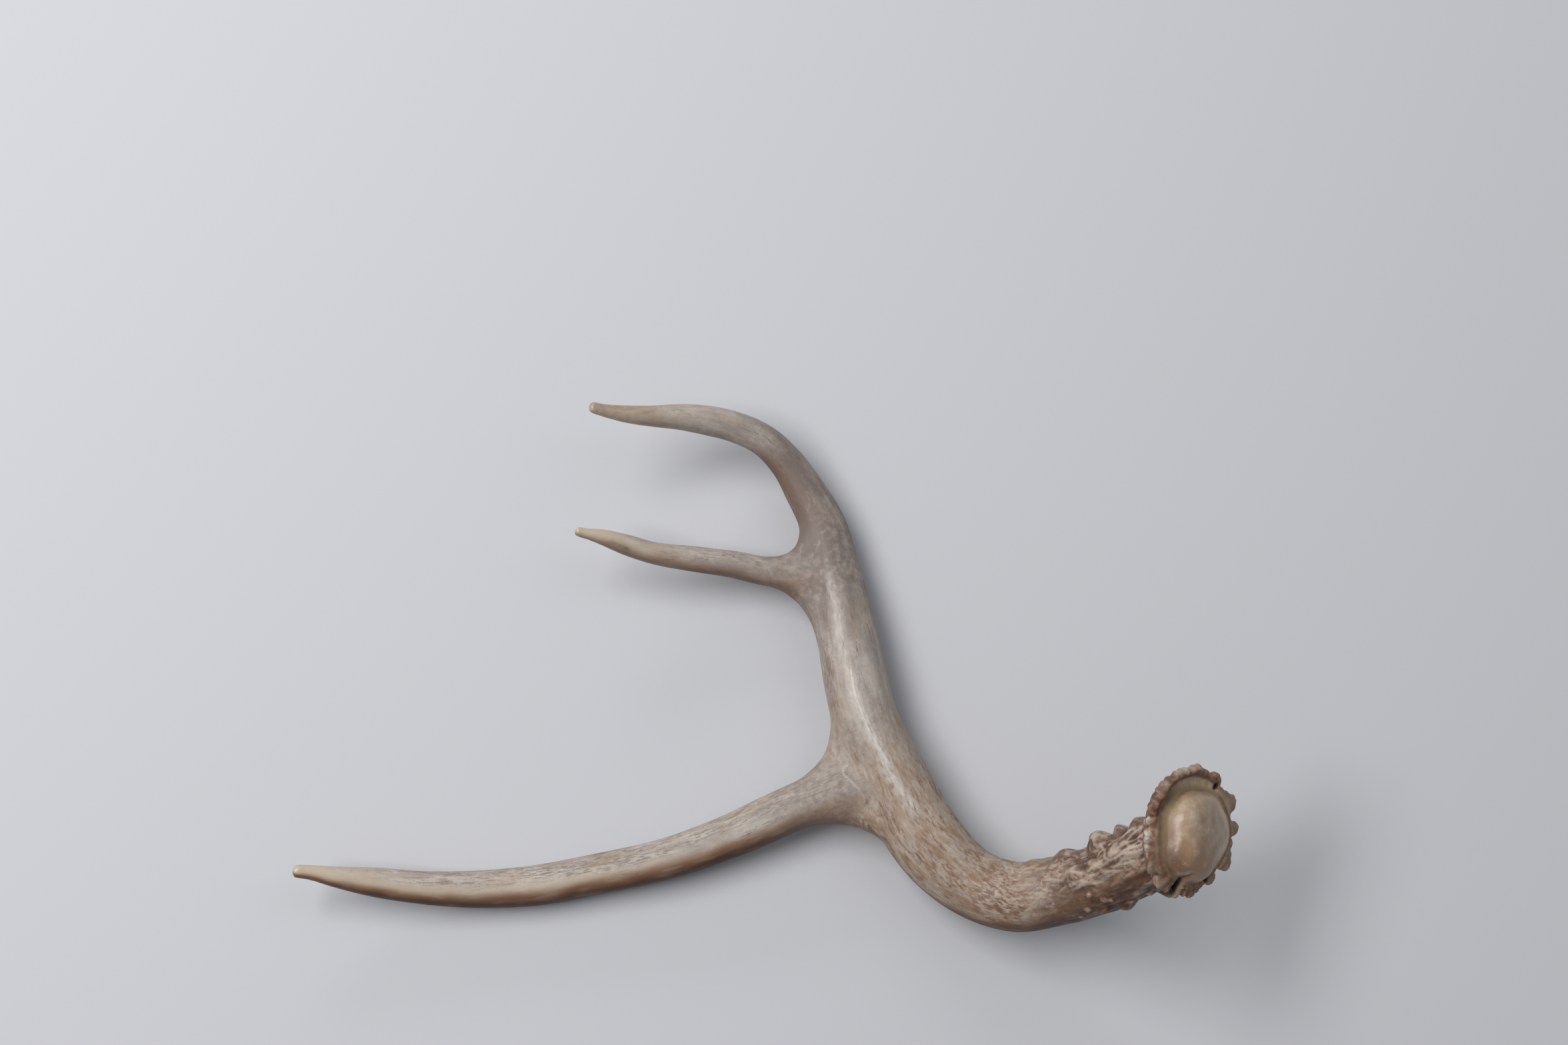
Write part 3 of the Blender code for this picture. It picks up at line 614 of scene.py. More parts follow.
def neighbour_mean(data, values, passes):
    """Values of the points, each drawn halfway to its neighbours' mean again and again."""
    ends = np.empty(len(data.edges) * 2, np.int32)
    data.edges.foreach_get("vertices", ends)
    a, b = ends.reshape(-1, 2).T
    size = len(values)
    count = np.bincount(ends, minlength=size).astype(float)
    for _ in range(passes):
        sums = [np.bincount(a, column[b], size) + np.bincount(b, column[a], size) for column in values.T]
        values = 0.5 * values + 0.5 * np.stack(sums, axis=1) / count[:, None]
    return values


# ---------------------------------------------------------------- the burr

def burr_frame():
    """Turns the burr's own axes, with z out of the seal and y up the picture, into the antler's."""
    z = Vector(BURR_AXIS).normalized()
    x = Vector((0.0, 1.0, 0.0)).cross(z).normalized()
    y = z.cross(x)
    return Matrix.Translation(BURR_CENTRE) @ Matrix((x, y, z)).transposed().to_4x4()


def in_burr(points):
    """The points' x, y and z in the burr's own axes."""
    back = np.array(burr_frame().inverted())
    local = points @ back[:3, :3].T + back[:3, 3]
    return local.T


def round_burr(turn):
    """The edge's radius and height, the lip and the seal's radius at places round the burr."""
    rows = np.array(BURR_ROUND)
    places = np.arange(360.0)
    share = np.hanning(ROUNDED_OVER)
    found = []
    for column in rows.T[1:]:
        values = np.tile(np.interp(places, rows[:, 0], column, period=360.0), 3)
        values = np.convolve(values, share / share.sum(), "same")[360:720]
        found.append(np.interp(turn, places, values, period=360.0))
    return found


def knob(turn, place, width):
    """How much of a knob there is at an angle: 1 at its top, with steep sides, and 0 past its width."""
    return dome(turned(turn, place) / width) ** 0.6


def burr_rows(turn):
    """From inside the beam over the rim to the moat: radius and height all round, and the knobs' share."""
    edge, high, lip, seal = round_burr(turn)
    rows = [(radius + 0.0 * edge, height + 0.0 * edge, 0.0) for radius, height in RIM_BACK]
    rows += [(edge + off, high + down, share) for off, down, share in RIM_EDGE]
    inner = seal + MOAT_WIDTH
    moat = MOAT + FILLED_MOAT * facing(turn, *ON_THE_RIGHT)
    for way, roll, share in RIM_FACE:
        radius = inner + way * (edge - FACE_INSET - inner)
        rows.append((radius, moat + way * (high - moat) + roll * lip, share))
    return rows, seal


def burr_mesh():
    """The coronet's knobs, the moat inside them and the domed seal, ring by ring."""
    turn = np.linspace(0.0, 360.0, BURR_SIDES, endpoint=False)
    out = sum(height * knob(turn, at, width) for at, height, width, _ in BURR_KNOBS)
    lift = sum(lifted * knob(turn, at, KNOB_SKIRT * width) for at, _, width, lifted in BURR_KNOBS)
    rows, seal = burr_rows(turn)
    cosine, sine = np.cos(np.radians(turn)), np.sin(np.radians(turn))
    shapes = []
    for radius, height, share in rows:
        radius = radius + share * out
        shapes.append(np.stack([radius * cosine, radius * sine, height + share * lift]))
    right = facing(turn, *ON_THE_RIGHT)
    middle_x, middle_y = SEAL_MIDDLE
    for way, height, height_right in SEAL_DOME:
        x = middle_x + way * (seal * cosine - middle_x)
        y = middle_y + way * (seal * sine - middle_y)
        height = height + right * (height_right - height)
        shapes.append(np.stack([x, y, height * (1.0 - SEAL_LEAN * x)]))
    flat = [np.concatenate([[np.hypot(s[0], s[1]).mean(), s[2].mean(), 0.0], s.ravel()]) for s in shapes]
    place = burr_frame()
    rings = []
    for row in through(flat, BURR_STEP):
        x, y, height = row[3:].reshape(3, -1)
        rings.append([place @ Vector(point) for point in zip(x, y, height)])
    inside = place @ Vector((0.0, 0.0, RIM_BACK[0][1]))
    return mesh_of_rings("burr", rings, inside, place @ Vector((*SEAL_MIDDLE, SEAL_DOME[-1][1])))


# ---------------------------------------------------------------- relief that the solids have too

def round_skin(turn, place):
    """Millimetres round the beam's skin from a place to each angle."""
    return np.radians(turned(turn, place)) * KNOB_SEAT


def pearling(along, turn):
    """Broken ridges and furrows that run down from the burr and fade out."""
    fade = math.exp(-((max(along, 0.0) / PEARLING["reach"]) ** 2))
    around = KNOB_SEAT / PEARLING["width"]
    at = Vector((along / PEARLING["length"], around * math.cos(turn), around * math.sin(turn)))
    return PEARLING["height"] * fade * (0.6 - 2.2 * abs(noise.noise(at)))


def beam_knobs(along, turn):
    """The separate lumps along the beam near the burr."""
    height_here = np.zeros(len(along))
    for distance, place, height, length, width in BEAM_KNOBS:
        from_top = np.hypot((along - distance) / length, round_skin(turn, place) / width) / KNOB_SKIRT
        height_here += height * dome(from_top) ** 2
    return height_here


def beam_ridge(along, turn):
    """The blunt ridge along the upper side of the beam, from before the first fork to past the second."""
    start = np.clip((along - BEAM_RIDGE["from"]) / BEAM_RIDGE["fade"], 0.0, 1.0)
    end = np.clip((BEAM_RIDGE["to"] - along) / BEAM_RIDGE["fade"], 0.0, 1.0)
    across = bell(turned(turn, BEAM_RIDGE["place"]), BEAM_RIDGE["width"])
    return BEAM_RIDGE["height"] * across * start * end


def coarse_relief(points):
    """Knobs, ridge and pearling of the beam."""
    beam = Branch(BEAM)
    along, turn, away, _ = beam.places(points)
    on_beam = np.clip(1.0 - (away - beam.half.max() - BEAM_EDGE) / BEAM_EDGE, 0.0, 1.0) * (along > 0.0)
    height = beam_knobs(along, turn) + beam_ridge(along, turn)
    for i in np.flatnonzero((along < PEARLING["ends"]) & (on_beam > 0.0)):
        height[i] += KEPT_PEARLING * pearling(along[i], math.radians(turn[i]))
    return height * on_beam


# ---------------------------------------------------------------- where each point has grown

def grain(along, turn, half, away):
    """Millimetres along the growth and the two across it, so that noise can be drawn out along it.

    It takes no notice of relief, but where the skin bulges out to a fork the grain goes out with it.
    """
    reach = half + np.clip(away - BULGE * half, 0.0, None)
    return np.stack([along, reach * np.cos(np.radians(turn)), reach * np.sin(np.radians(turn))], axis=1)


class Growth:
    """Where points of the skin lie on the beam, on the nearest tine and on the burr."""

    def __init__(self, points):
        self.points = points
        self.place_on_branches()
        self.place_on_burr()

    def place_on_branches(self):
        count = len(self.points)
        beam = Branch(BEAM)
        self.along, self.turn, away, half = beam.places(self.points)
        self.beam = grain(self.along, self.turn, half, away)
        from_beam = away / half
        self.tip = beam.along[-1] - self.along
        nearest = np.full(count, FAR)
        self.tine = np.zeros((count, 3))
        self.tine_along = np.zeros(count)
        self.tine_turn = np.zeros(count)
        self.on_long = np.ones(count, bool)
        for number, rows in enumerate((LONG_TINE, SHORT_TINE)):
            tine = Branch(rows)
            along, turn, away, half = tine.places(self.points)
            out = np.where(along > -TINE_ROOT, away / half, FAR)
            pick = out < nearest
            nearest[pick] = out[pick]
            self.tine[pick] = grain(along + GRAINS_APART * (number + 1), turn, half, away)[pick]
            self.tine_along[pick] = along[pick]
            self.tine_turn[pick] = turn[pick]
            self.on_long[pick] = number == 0
            on_this = pick & (out < from_beam)
            self.tip[on_this] = (tine.along[-1] - along)[on_this]
        self.tine_share = between(from_beam - nearest, -0.2, 0.5)
        self.beam_share = 1.0 - self.tine_share

    def place_on_burr(self):
        """face is 0 at the moat and 1 at the rim's edge; front is the side that shows round the seal."""
        self.seal_x, self.seal_y, self.height = in_burr(self.points)
        self.radius = np.hypot(self.seal_x, self.seal_y)
        self.round = np.degrees(np.arctan2(self.seal_y, self.seal_x))
        edge, high, self.lip, self.seal = round_burr(self.round)
        inner = self.seal + MOAT_WIDTH
        self.face = (self.radius - inner) / (edge - FACE_INSET - inner)
        above_face = self.height - MOAT - np.clip(self.face, 0.0, 1.0) * (high - MOAT)
        self.front = between(above_face, *FRONT_DEPTH)
        self.front_of_holes = between(above_face, *HOLE_DEPTH)
        self.burr_share = between(self.height, *BURR_BACK) * (self.radius < BURR_REACH)
        self.off_burr = 1.0 - self.burr_share

    def noise(self, size, seed):
        """Noise with swells of a size in all directions."""
        return gradient_noise(self.points / size, seed)

    def branches(self):
        """The grain of the beam and of the tines, each with its share at every point."""
        return (self.beam, self.beam_share), (self.tine, self.tine_share)

    def rim_grain(self):
        """Millimetres out over the rim and the two round it, so that noise can be drawn out into flutes."""
        turn = np.radians(self.round)
        out = self.radius + RIM_STEEPNESS * self.height
        return np.stack([out, RIM_RADIUS * np.cos(turn), RIM_RADIUS * np.sin(turn)], axis=1)


def drawn_out(places, length, width, seed, warp=0.0):
    """Noise on grain whose swells are a length along the growth and a width across it."""
    size = np.array((length, width, width))
    if warp:
        shift = [gradient_noise(places / (1.5 * size), seed + 50 + n) for n in range(3)]
        places = places + warp * np.stack(shift, axis=1)
    return gradient_noise(places / size, seed)


def from_stroke(growth, points):
    """Distance on the beam's skin, in millimetres, from a line through points (along, place round)."""
    nearest = np.full(len(growth.along), FAR)
    for (a, turn_a), (b, turn_b) in zip(points, points[1:]):
        across = round_skin(growth.turn, turn_a)
        run = np.array((b - a, math.radians(turn_b - turn_a) * KNOB_SEAT))
        t = np.clip(((growth.along - a) * run[0] + across * run[1]) / (run @ run), 0.0, 1.0)
        nearest = np.minimum(nearest, np.hypot(growth.along - a - t * run[0], across - t * run[1]))
    return nearest


def beside(points, line):
    """Millimetres to the right of a line seen from above, and past its ends, at each point."""
    nearest = np.full(len(points), np.inf)
    right, past = np.zeros(len(points)), np.zeros(len(points))
    last = len(line) - 2
    for number, (start, end) in enumerate(zip(line, line[1:])):
        run = np.subtract(end, start)
        length = math.hypot(*run)
        run = run / length
        off = points[:, :2] - start
        ahead = off @ run
        across = off[:, 0] * run[1] - off[:, 1] * run[0]
        away = np.hypot(ahead - np.clip(ahead, 0.0, length), across)
        pick = away < nearest
        nearest[pick] = away[pick]
        right[pick] = across[pick]
        short = -ahead if number == 0 else np.zeros(len(points))
        beyond = ahead - length if number == last else np.zeros(len(points))
        past[pick] = np.maximum(np.maximum(short, beyond), 0.0)[pick]
    past += LINE_REACH * between(points[:, 2], UPPERMOST, UPPERMOST - 3.0)
    return right, past


def rough_share(growth):
    """1 where the skin is all ridges and gutters, by the burr, and 0 where it is smooth."""
    edge = growth.along + 9.0 * drawn_out(growth.beam, 14.0, 7.0, 11)
    return (1.0 - between(edge, ROUGH_FROM, ROUGH_TO)) * growth.beam_share


# ---------------------------------------------------------------- relief that the skin alone has

def from_pearl(growth, at, place, radius):
    """How far each point is from the middle of a lump of the base, in the lump's radii."""
    return np.hypot(growth.along - at, round_skin(growth.turn, place)) / radius


def pale_lines(growth):
    """The thin ridges by the burr that branch and join: 1 along their tops."""
    strength = between(drawn_out(growth.beam, 16.0, 7.0, 20), -0.2, 0.4)
    lines = 0.8 * strength * bell(drawn_out(growth.beam, 13.0, 3.8, 21, warp=1.8), 0.16)
    for high, width, points in STROKES:
        lines = np.maximum(lines, high * bell(from_stroke(growth, points), width))
    for at, place, radius, high in PEARLS:
        lines = np.maximum(lines, 1.5 * high * bell(from_pearl(growth, at, place, radius), 1.0))
    return np.clip(lines, 0.0, 1.0)


def dark_lines(growth):
    """1 along the gutters by the burr."""
    lines = np.zeros(len(growth.points))
    for deep, width, points in GUTTERS:
        line = min(1.0, 1.4 * deep) * bell(from_stroke(growth, points), 1.2 * width)
        lines = np.maximum(lines, line)
    return lines


def base_relief(growth):
    """Rounded lumps by the burr with thin ridges, gutters and pearls on and between them."""
    height = 0.08 * pale_lines(growth) - 0.05
    for high, length, width, seed, warp in BASE_LUMPS:
        height += high * drawn_out(growth.beam, length, width, seed, warp)
    for deep, width, points in GUTTERS:
        height -= 0.50 * deep * bell(from_stroke(growth, points), 1.15 * width)
    for at, place, radius, high in PEARLS:
        height += 1.1 * high * dome(from_pearl(growth, at, place, radius) / KNOB_SKIRT) ** 1.7
    return height * rough_share(growth)


def long_swells(growth):
    """Slow unevenness, shallow flutes and fibres along every branch, and the blood vessel's line."""
    height = np.zeros(len(growth.points))
    for places, share in growth.branches():
        thick = np.clip(np.hypot(places[:, 1], places[:, 2]) / KNOB_SEAT, 0.0, 1.0)
        for high, length, width, seed in LONG_SWELLS:
            height += share * thick * high * drawn_out(places, length, width, seed)
    height += VEIN_HEIGHT * bell(np.hypot(*beside(growth.points, VEIN)), VEIN_WIDTH)
    return height * growth.off_burr


def burr_holes(growth, front):
    """How far in a hole of the rim each point is, and how deep that is."""
    inside = np.zeros(len(growth.points))
    depth = np.zeros(len(growth.points))
    for place, radius, length, width, deep in BURR_HOLES:
        across = np.radians(turned(growth.round, place)) * growth.radius
        hole = blob(growth.radius - radius, length, across, width) * front
        inside = np.maximum(inside, hole)
        depth += deep * hole
    return inside, depth


def rim_pearls(growth):
    """How far each point is from the nearest pearl of the rim, in its radii, and the pearl's height there."""
    at = np.stack([growth.seal_x, growth.seal_y, growth.height], axis=1)
    off = np.full(len(at), FAR)
    height = np.zeros(len(at))
    inset, depth = PEARL_SEAT
    for place, radius in RIM_PEARLS:
        edge, high, _, _ = round_burr(place)
        turn = math.radians(place)
        middle = ((edge - inset) * math.cos(turn), (edge - inset) * math.sin(turn), high - depth)
        away = np.linalg.norm(at - middle, axis=1) / radius
        off = np.minimum(off, away)
        height = np.maximum(height, 0.65 * radius * dome(away / 1.1))
    return off, height


def rim_relief(growth):
    """Flutes, lumps, beads and grain of the coronet. Inside a rolled lip it is calm."""
    front, lip, face = growth.front, growth.lip, growth.face
    below = arc(growth.round, *FLUTED_BELOW)
    flute_height = 0.50 - 0.05 * below - 0.42 * front * (1.0 - below) * (1.0 - lip)
    flutes = flute_height * drawn_out(growth.rim_grain(), 9.0, 1.5, 41, warp=0.6)
    flutes *= 1.0 - lip * (1.0 - between(face, 0.80, 0.98))
    lumps = 0.40 - 0.22 * np.maximum(front * (1.0 - lip), lip)
    lumps *= drawn_out(growth.rim_grain(), 3.2, 2.8, 42)
    lumps += 0.40 * lip * between(face, 0.6, 0.8) * growth.noise(3.8, 48)
    step = 0.35 * front * bell(face - 0.45, 0.14) * (1.0 - lip)
    grainy = 0.10 * growth.noise(1.2, 43)
    beads = 0.8 * dome(cell_noise(growth.points / 3.0, 44) / 0.45) - 0.3
    beads *= (1.0 - front) * (1.0 - 0.65 * lip)
    calm = lip * front * (1.0 - between(face, 0.62, 0.80))
    return between(face, -0.1, 0.15) * (flutes + lumps + step + grainy + beads) * (1.0 - calm)


def seal_relief(growth):
    """The seal's slight unevenness, and the little lumps left of its middle."""
    on_seal = (1.0 - between(growth.radius - growth.seal, -2.0, -0.4)) * (growth.height > 0.0)
    uneven = 0.26 * growth.noise(6.0, 45) + 0.07 * growth.noise(1.9, 46)
    middle = bell(np.hypot(growth.seal_x + 3.0, growth.seal_y - 1.5), 5.5)
    lumps = dome(cell_noise(growth.points / 2.4, 47) / 0.6) - 0.3
    return on_seal * (uneven + 0.22 * middle * lumps)


def fine_relief(points):
    growth = Growth(points)
    burr = rim_relief(growth) + rim_pearls(growth)[1] + seal_relief(growth)
    burr -= burr_holes(growth, growth.front)[1]
    return base_relief(growth) * growth.off_burr + long_swells(growth) + burr * growth.burr_share


# ---------------------------------------------------------------- putting the antler together

def antler_skin():
    tables = {"beam": BEAM, "long_tine": LONG_TINE, "short_tine": SHORT_TINE}
    tables.update({f"crotch_{n}": rows for n, rows in enumerate(CROTCHES)})
    meshes = []
    for name, rows in tables.items():
        branch = Branch(rows)
        rings, tip = branch.rings(RING_SIDES)
        meshes.append(mesh_of_rings(name, rings, branch.centre[0], tip))
    antler = joined("branches", meshes)
    one_skin(antler, COARSE_VOXEL)
    points = read(antler.data, "co")
    weight = np.zeros(len(points))
    for x, y, z, reach in FORKS:
        away = np.linalg.norm(points - (x, y, z), axis=1)
        weight = np.maximum(weight, np.clip(BLENDED_WHOLLY * (1.0 - away / reach), 0.0, 1.0))
    smoothed(antler, BLEND_PASSES, weight)
    whole = joined("antler", [antler.data, burr_mesh()])
    bpy.data.objects.remove(antler)
    one_skin(whole, FINE_VOXEL)
    smoothed(whole, SKIN_PASSES)
    raised(whole, coarse_relief(read(whole.data, "co")))
    raised(whole, fine_relief(read(whole.data, "co")))
    return whole


def in_metres(made):
    """The finished skin at its real size, resting on the surface at its lowest point."""
    made.data.transform(Matrix.Translation((0.0, 0.0, -read(made.data, "co")[:, 2].min())))
    made.data.transform(Matrix.Diagonal((MM, MM, MM, 1.0)))


# ---------------------------------------------------------------- where each colour goes

def hollowness(data, passes, depth):
    """How deep each point lies in a hollow, 1 for a depth in millimetres, and below 0 on a crest."""
    points = read(data, "co") / MM
    inward = ((neighbour_mean(data, points, passes) - points) * read(data, "normal")).sum(1)
    return np.clip(inward / depth, -1.5, 1.5)


def underside_stain_and_shade(growth):
    """The lower side of the long tine and the rough base, less on the other tips, and the hook's inner side:
    brown staining that is partly painted shade, soft, then dark.
    """
    soft, dark = np.zeros((2, len(growth.points)))

    def add_stain_and_shade(share, turn, soft_arc, dark_arc):
        soft[:] += share * from_to(turn, *soft_arc)
        dark[:] += share * from_to(turn, *dark_arc)

    turn = growth.tine_turn + 8.0 * drawn_out(growth.tine, 12.0, 6.0, 63)
    share = 0.45 + 0.55 * growth.on_long * between(growth.tine_along, *TINE_STAIN_AND_SHADE_STARTS)
    add_stain_and_shade(share * growth.tine_share, turn, *STAIN_AND_SHADE_ON_TINE)
    turn = growth.turn + 9.0 * drawn_out(growth.beam, 12.0, 6.0, 64)
    edge = 74.0 + 0.80 * np.clip(growth.along - 22.0, 0.0, 90.0)
    share = growth.beam_share * (1.0 - between(growth.along, *STAIN_AND_SHADE_ENDS))
    add_stain_and_shade(share, turn, (edge, edge + 30.0, 226.0, 262.0), (edge + 10.0, edge + 40.0, 222.0, 250.0))
    hook = growth.beam_share * between(growth.along, *HOOK_STARTS)
    hook *= 1.0 - 0.7 * between(growth.along, *HOOK_FADES)
    add_stain_and_shade(0.35 * hook, turn, *STAIN_AND_SHADE_ON_HOOK)
    return soft * growth.off_burr, dark * growth.off_burr


def mottled(growth):
    """Where dark fibres lie close together: the long tine's upper side most, and the beam's left side."""
    ragged = 10.0 * drawn_out(growth.tine, 22.0, 5.0, 65)
    upper = from_to(growth.tine_turn + MOTTLED_SHIFT + ragged, *MOTTLED_TINE)
    tine = upper * (0.35 + 0.65 * growth.on_long) * between(growth.tip, *MOTTLED_TO_TIP)
    left = from_to(growth.turn, *MOTTLED_LEFT) * between(growth.along, *MOTTLED_STARTS)
    beam = 0.55 * left * (1.0 - between(growth.along, *MOTTLED_ENDS))
    return np.clip(tine * growth.tine_share + beam * growth.beam_share, 0.0, 1.0)


def brown_patches(growth):
    brown = np.zeros(len(growth.points))
    ragged = 1.0 + 0.5 * growth.noise(2.5, 66)
    branch = np.where(growth.tine_share < 0.5, 0, np.where(growth.on_long, 1, 2))
    for which, along, turn, length, width, strength in BROWN_PATCHES:
        on_beam = which == 0
        off = (growth.along if on_beam else growth.tine_along) - along
        across = turned(growth.turn if on_beam else growth.tine_turn, turn)
        spot = strength * blob(off, length, across, width) * (branch == which)
        brown = np.maximum(brown, spot * ragged)
    return brown


def web(growth):
    """1 where a fork's two grains meet and run out into each other, and 0 outside the forks."""
    share = np.zeros(len(growth.points))
    for x, y, z, reach in FORKS:
        away = np.linalg.norm(growth.points - (x, y, z), axis=1) / reach
        share = np.maximum(share, 1.0 - between(away, 0.40, 0.85))
    return share


def dusk(growth):
    """The upper part of the beam, darker than the rest, most of all above the upper fork, its tine and the
    forks' webs: partly a darker tone of the bone and partly painted shade.
    """
    along = growth.along + 6.0 * drawn_out(growth.beam, 20.0, 8.0, 67)
    beam = 0.55 * between(along, *DUSK_STARTS) + 0.45 * between(along, *DUSK_DEEPENS)
    beam *= 1.0 - 0.8 * between(along, *DUSK_FADES)
    for at, place, length, width, extra in DUSKY_PLACES:
        beam += extra * blob(along - at, length, turned(growth.turn, place), width)
    tine = np.where(growth.on_long, 0.22 * (1.0 - between(growth.tine_along, *DUSKY_ROOT)), 0.40)
    return beam * growth.beam_share + tine * growth.tine_share + 0.42 * web(growth)


def cream_band(growth):
    """The clean pale band along the long tine, under its mottled upper side."""
    ragged = 7.0 * drawn_out(growth.tine, 16.0, 5.0, 68)
    band = from_to(growth.tine_turn + ragged, *CREAM_ARC) * between(growth.tine_along, *CREAM_STARTS)
    return band * growth.on_long * growth.tine_share


def pale_marks(growth):
    """The pale band along the ridge of the beam, partly worn bone and partly a painted highlight, and a pale
    patch by the burr.
    """
    x, y, z = growth.points.T
    ragged = growth.noise(5.0, 61) + 0.6 * growth.noise(2.0, 60)
    right, past = beside(growth.points, PALE_RIDGE)
    wide = 2.4 + 1.0 * growth.noise(12.0, 62)
    strength = 0.55 + 0.40 * between(y, *PALE_TO) * between(y, *PALE_FROM)
    pale = strength * blob(right, wide, past, 5.0) * (1.0 + 0.35 * ragged)
    for at_x, at_y, length, width, how in PALE_SPOTS:
        spot = how * blob(x - at_x, width, y - at_y, length) * (z > UPPERMOST)
        pale = np.maximum(pale, spot * (1.0 + 0.5 * ragged))
    at, length, place, width = PALE_BY_BURR
    by_burr = blob(growth.along - at, length, turned(growth.turn, place), width)
    return np.clip(pale, 0.0, 1.0) + 0.45 * by_burr


def branch_marks(growth):
    """The numbers and vectors that the material reads along the beam and the tines."""
    rough = rough_share(growth)
    soft, dark = underside_stain_and_shade(growth)
    flecked = between(growth.along, *FLECKS_START) * (1.0 - between(growth.along, *FLECKS_END))
    marks = {
        "beam_grain": growth.beam,
        "tine_grain": growth.tine,
        "tine_share": growth.tine_share,
        "rough": rough,
        "lines": pale_lines(growth) * rough,
        "gutters": dark_lines(growth) * rough,
        "flecked": flecked * growth.beam_share,
        "web": web(growth),
        "tip": 1.0 - between(growth.tip, *TIP_WORN),
        # The next two: brown staining of the lower sides, partly painted shade, soft and dark.
        "stained_and_shaded": soft,
        "under": dark,
        "mottled": mottled(growth),
        # Brown patches, partly painted shade on the lower edges and at the beam's tip.
        "brown": brown_patches(growth) * growth.off_burr,
        # The darker upper beam, partly painted shade.
        "dusk": dusk(growth),
        "cream": cream_band(growth),
        # The ridge's pale band, partly worn bone and partly a painted highlight.
        "pale": pale_marks(growth),
    }
    for name, line in (("vein", VEIN), ("thread", THREAD)):
        right, past = beside(growth.points, line)
        right, past = np.clip(right, -LINE_REACH, LINE_REACH), np.clip(past, 0.0, LINE_REACH)
        marks[name] = np.stack([right, past, 0.0 * past], axis=1)
    return marks


def rim_marks(growth):
    """The parts of the coronet that have colours of their own; the lobes are partly painted light with
    painted shade at their outer edges, the moat is partly painted shade, and the holes are painted shade.
    ragged frays their edges.
    """
    face, front, turn = growth.face, growth.front, growth.round
    ragged = 0.05 * growth.noise(2.5, 71)
    pearls = between(rim_pearls(growth)[0] + 3.0 * ragged, 1.55, 1.15)
    for place, width, pale_here in PALE_TOPS:
        top = bell(turned(turn, place), width) * front * between(face + 3.0 * ragged, 0.76, 0.92)
        pearls = np.maximum(pearls, pale_here * top)
    row = np.zeros(len(face))
    for strength, place, width, low, high in BEAD_ROWS:
        row = np.maximum(row, strength * arc(turn, place, width) * between(face, low, high))
    # Darker outer edges of the lobes: painted shade.
    shaded_lobe_edges = 1.0 - 0.65 * between(face + 2.0 * ragged, 0.75, 1.25)
    lobes = facing(turn, *LOBES) * between(face + ragged, 0.1, 0.4) * shaded_lobe_edges
    inner = (1.0 - between(face + ragged, 0.46, 0.66)) * between(face, -0.1, 0.1)
    lip = np.clip(1.6 * growth.lip, 0.0, 1.0) * between(face + ragged, 0.54, 0.66)
    return {
        "pearls": pearls,
        "row": row,
        "lobes": lobes * front,
        "inner_rim": inner * front,
        "lip": lip,
        "skirt": arc(turn, *SKIRT) * between(face, 0.05, 0.30) * growth.front_of_holes,
        "holes": burr_holes(growth, growth.front_of_holes)[0],
        # The moat's olive, strongest under the lip at the upper left, partly painted shade.
        "moat": bell(face, 0.16) * front * (0.25 + 0.75 * facing(turn, *DARK_MOAT)),
    }


def seal_marks(growth):
    """The seal, and the places on it and round it that have colours of their own. The seal's right side and
    the rim's top face are also lit up as painted light, and the seal's lower part and lower left darkened as
    painted shade.
    """
    right = facing(growth.round, *ON_THE_RIGHT)
    way_out = growth.radius / growth.seal
    past_seal = (growth.radius - growth.seal + 0.35) / (1.0 + 3.0 * right)
    seal = (1.0 - between(past_seal, -0.55, 0.55)) * (growth.height > MOAT - 0.6)
    place, width = LOW_LEFT
    low_left = bell(turned(growth.round, place), width) * between(way_out, 0.74, 0.96)
    return {
        "seal": seal * growth.burr_share,
        # Paler on the seal's right side: partly painted light.
        "seal_side": right * between(way_out, 0.45, 0.90),
        # The next two: darker low down and low on the left, partly painted shade.
        "seal_low": between(-0.45 * growth.seal_x - growth.seal_y, 0.0, 15.0),
        "low_left": low_left * growth.front_of_holes * growth.burr_share,
        # The rim's top, where its face is lit up as painted light and its lip more rusty.
        "top_face": arc(growth.round, *TOP_FACE),
        "rim_grain": growth.rim_grain(),
        "burr": growth.burr_share,
    }


def mark_all(data):
    """Gives each point of the mesh the numbers and vectors that the material reads."""
    growth = Growth(read(data, "co") / MM)
    marks = {**branch_marks(growth), **seal_marks(growth)}
    marks.update({name: values * growth.burr_share for name, values in rim_marks(growth).items()})
    marks["hollow"] = hollowness(data, 4, 0.12)
    marks["deep"] = hollowness(data, 30, 0.6)
    for name, values in marks.items():
        kind, field = ("FLOAT_VECTOR", "vector") if values.ndim == 2 else ("FLOAT", "value")
        made = data.attributes.new(name, kind, "POINT")
        made.data.foreach_set(field, values.astype(np.float32).ravel())


# ---------------------------------------------------------------- material

class Field:
    """A value that varies over a surface and can be reckoned with: each step adds a node."""

    def __init__(self, surface, socket):
        self.surface = surface
        self.socket = socket

    def __add__(self, other):
        return self.surface.node("ShaderNodeMath", {0: self, 1: other}, operation="ADD")

    def __mul__(self, other):
        return self.surface.node("ShaderNodeMath", {0: self, 1: other}, operation="MULTIPLY")

    __radd__ = __add__
    __rmul__ = __mul__

    def __sub__(self, other):
        return self + -1.0 * other

    def __rsub__(self, other):
        return -1.0 * self + other

    def __abs__(self):
        return self.surface.node("ShaderNodeMath", {0: self}, operation="ABSOLUTE")

    def between(self, low, high):
        """0 at low, 1 at high, smoothly; low may be the greater of the two."""
        ends = {"Value": self, "From Min": low, "From Max": high}
        return self.surface.node("ShaderNodeMapRange", ends, interpolation_type="SMOOTHSTEP")


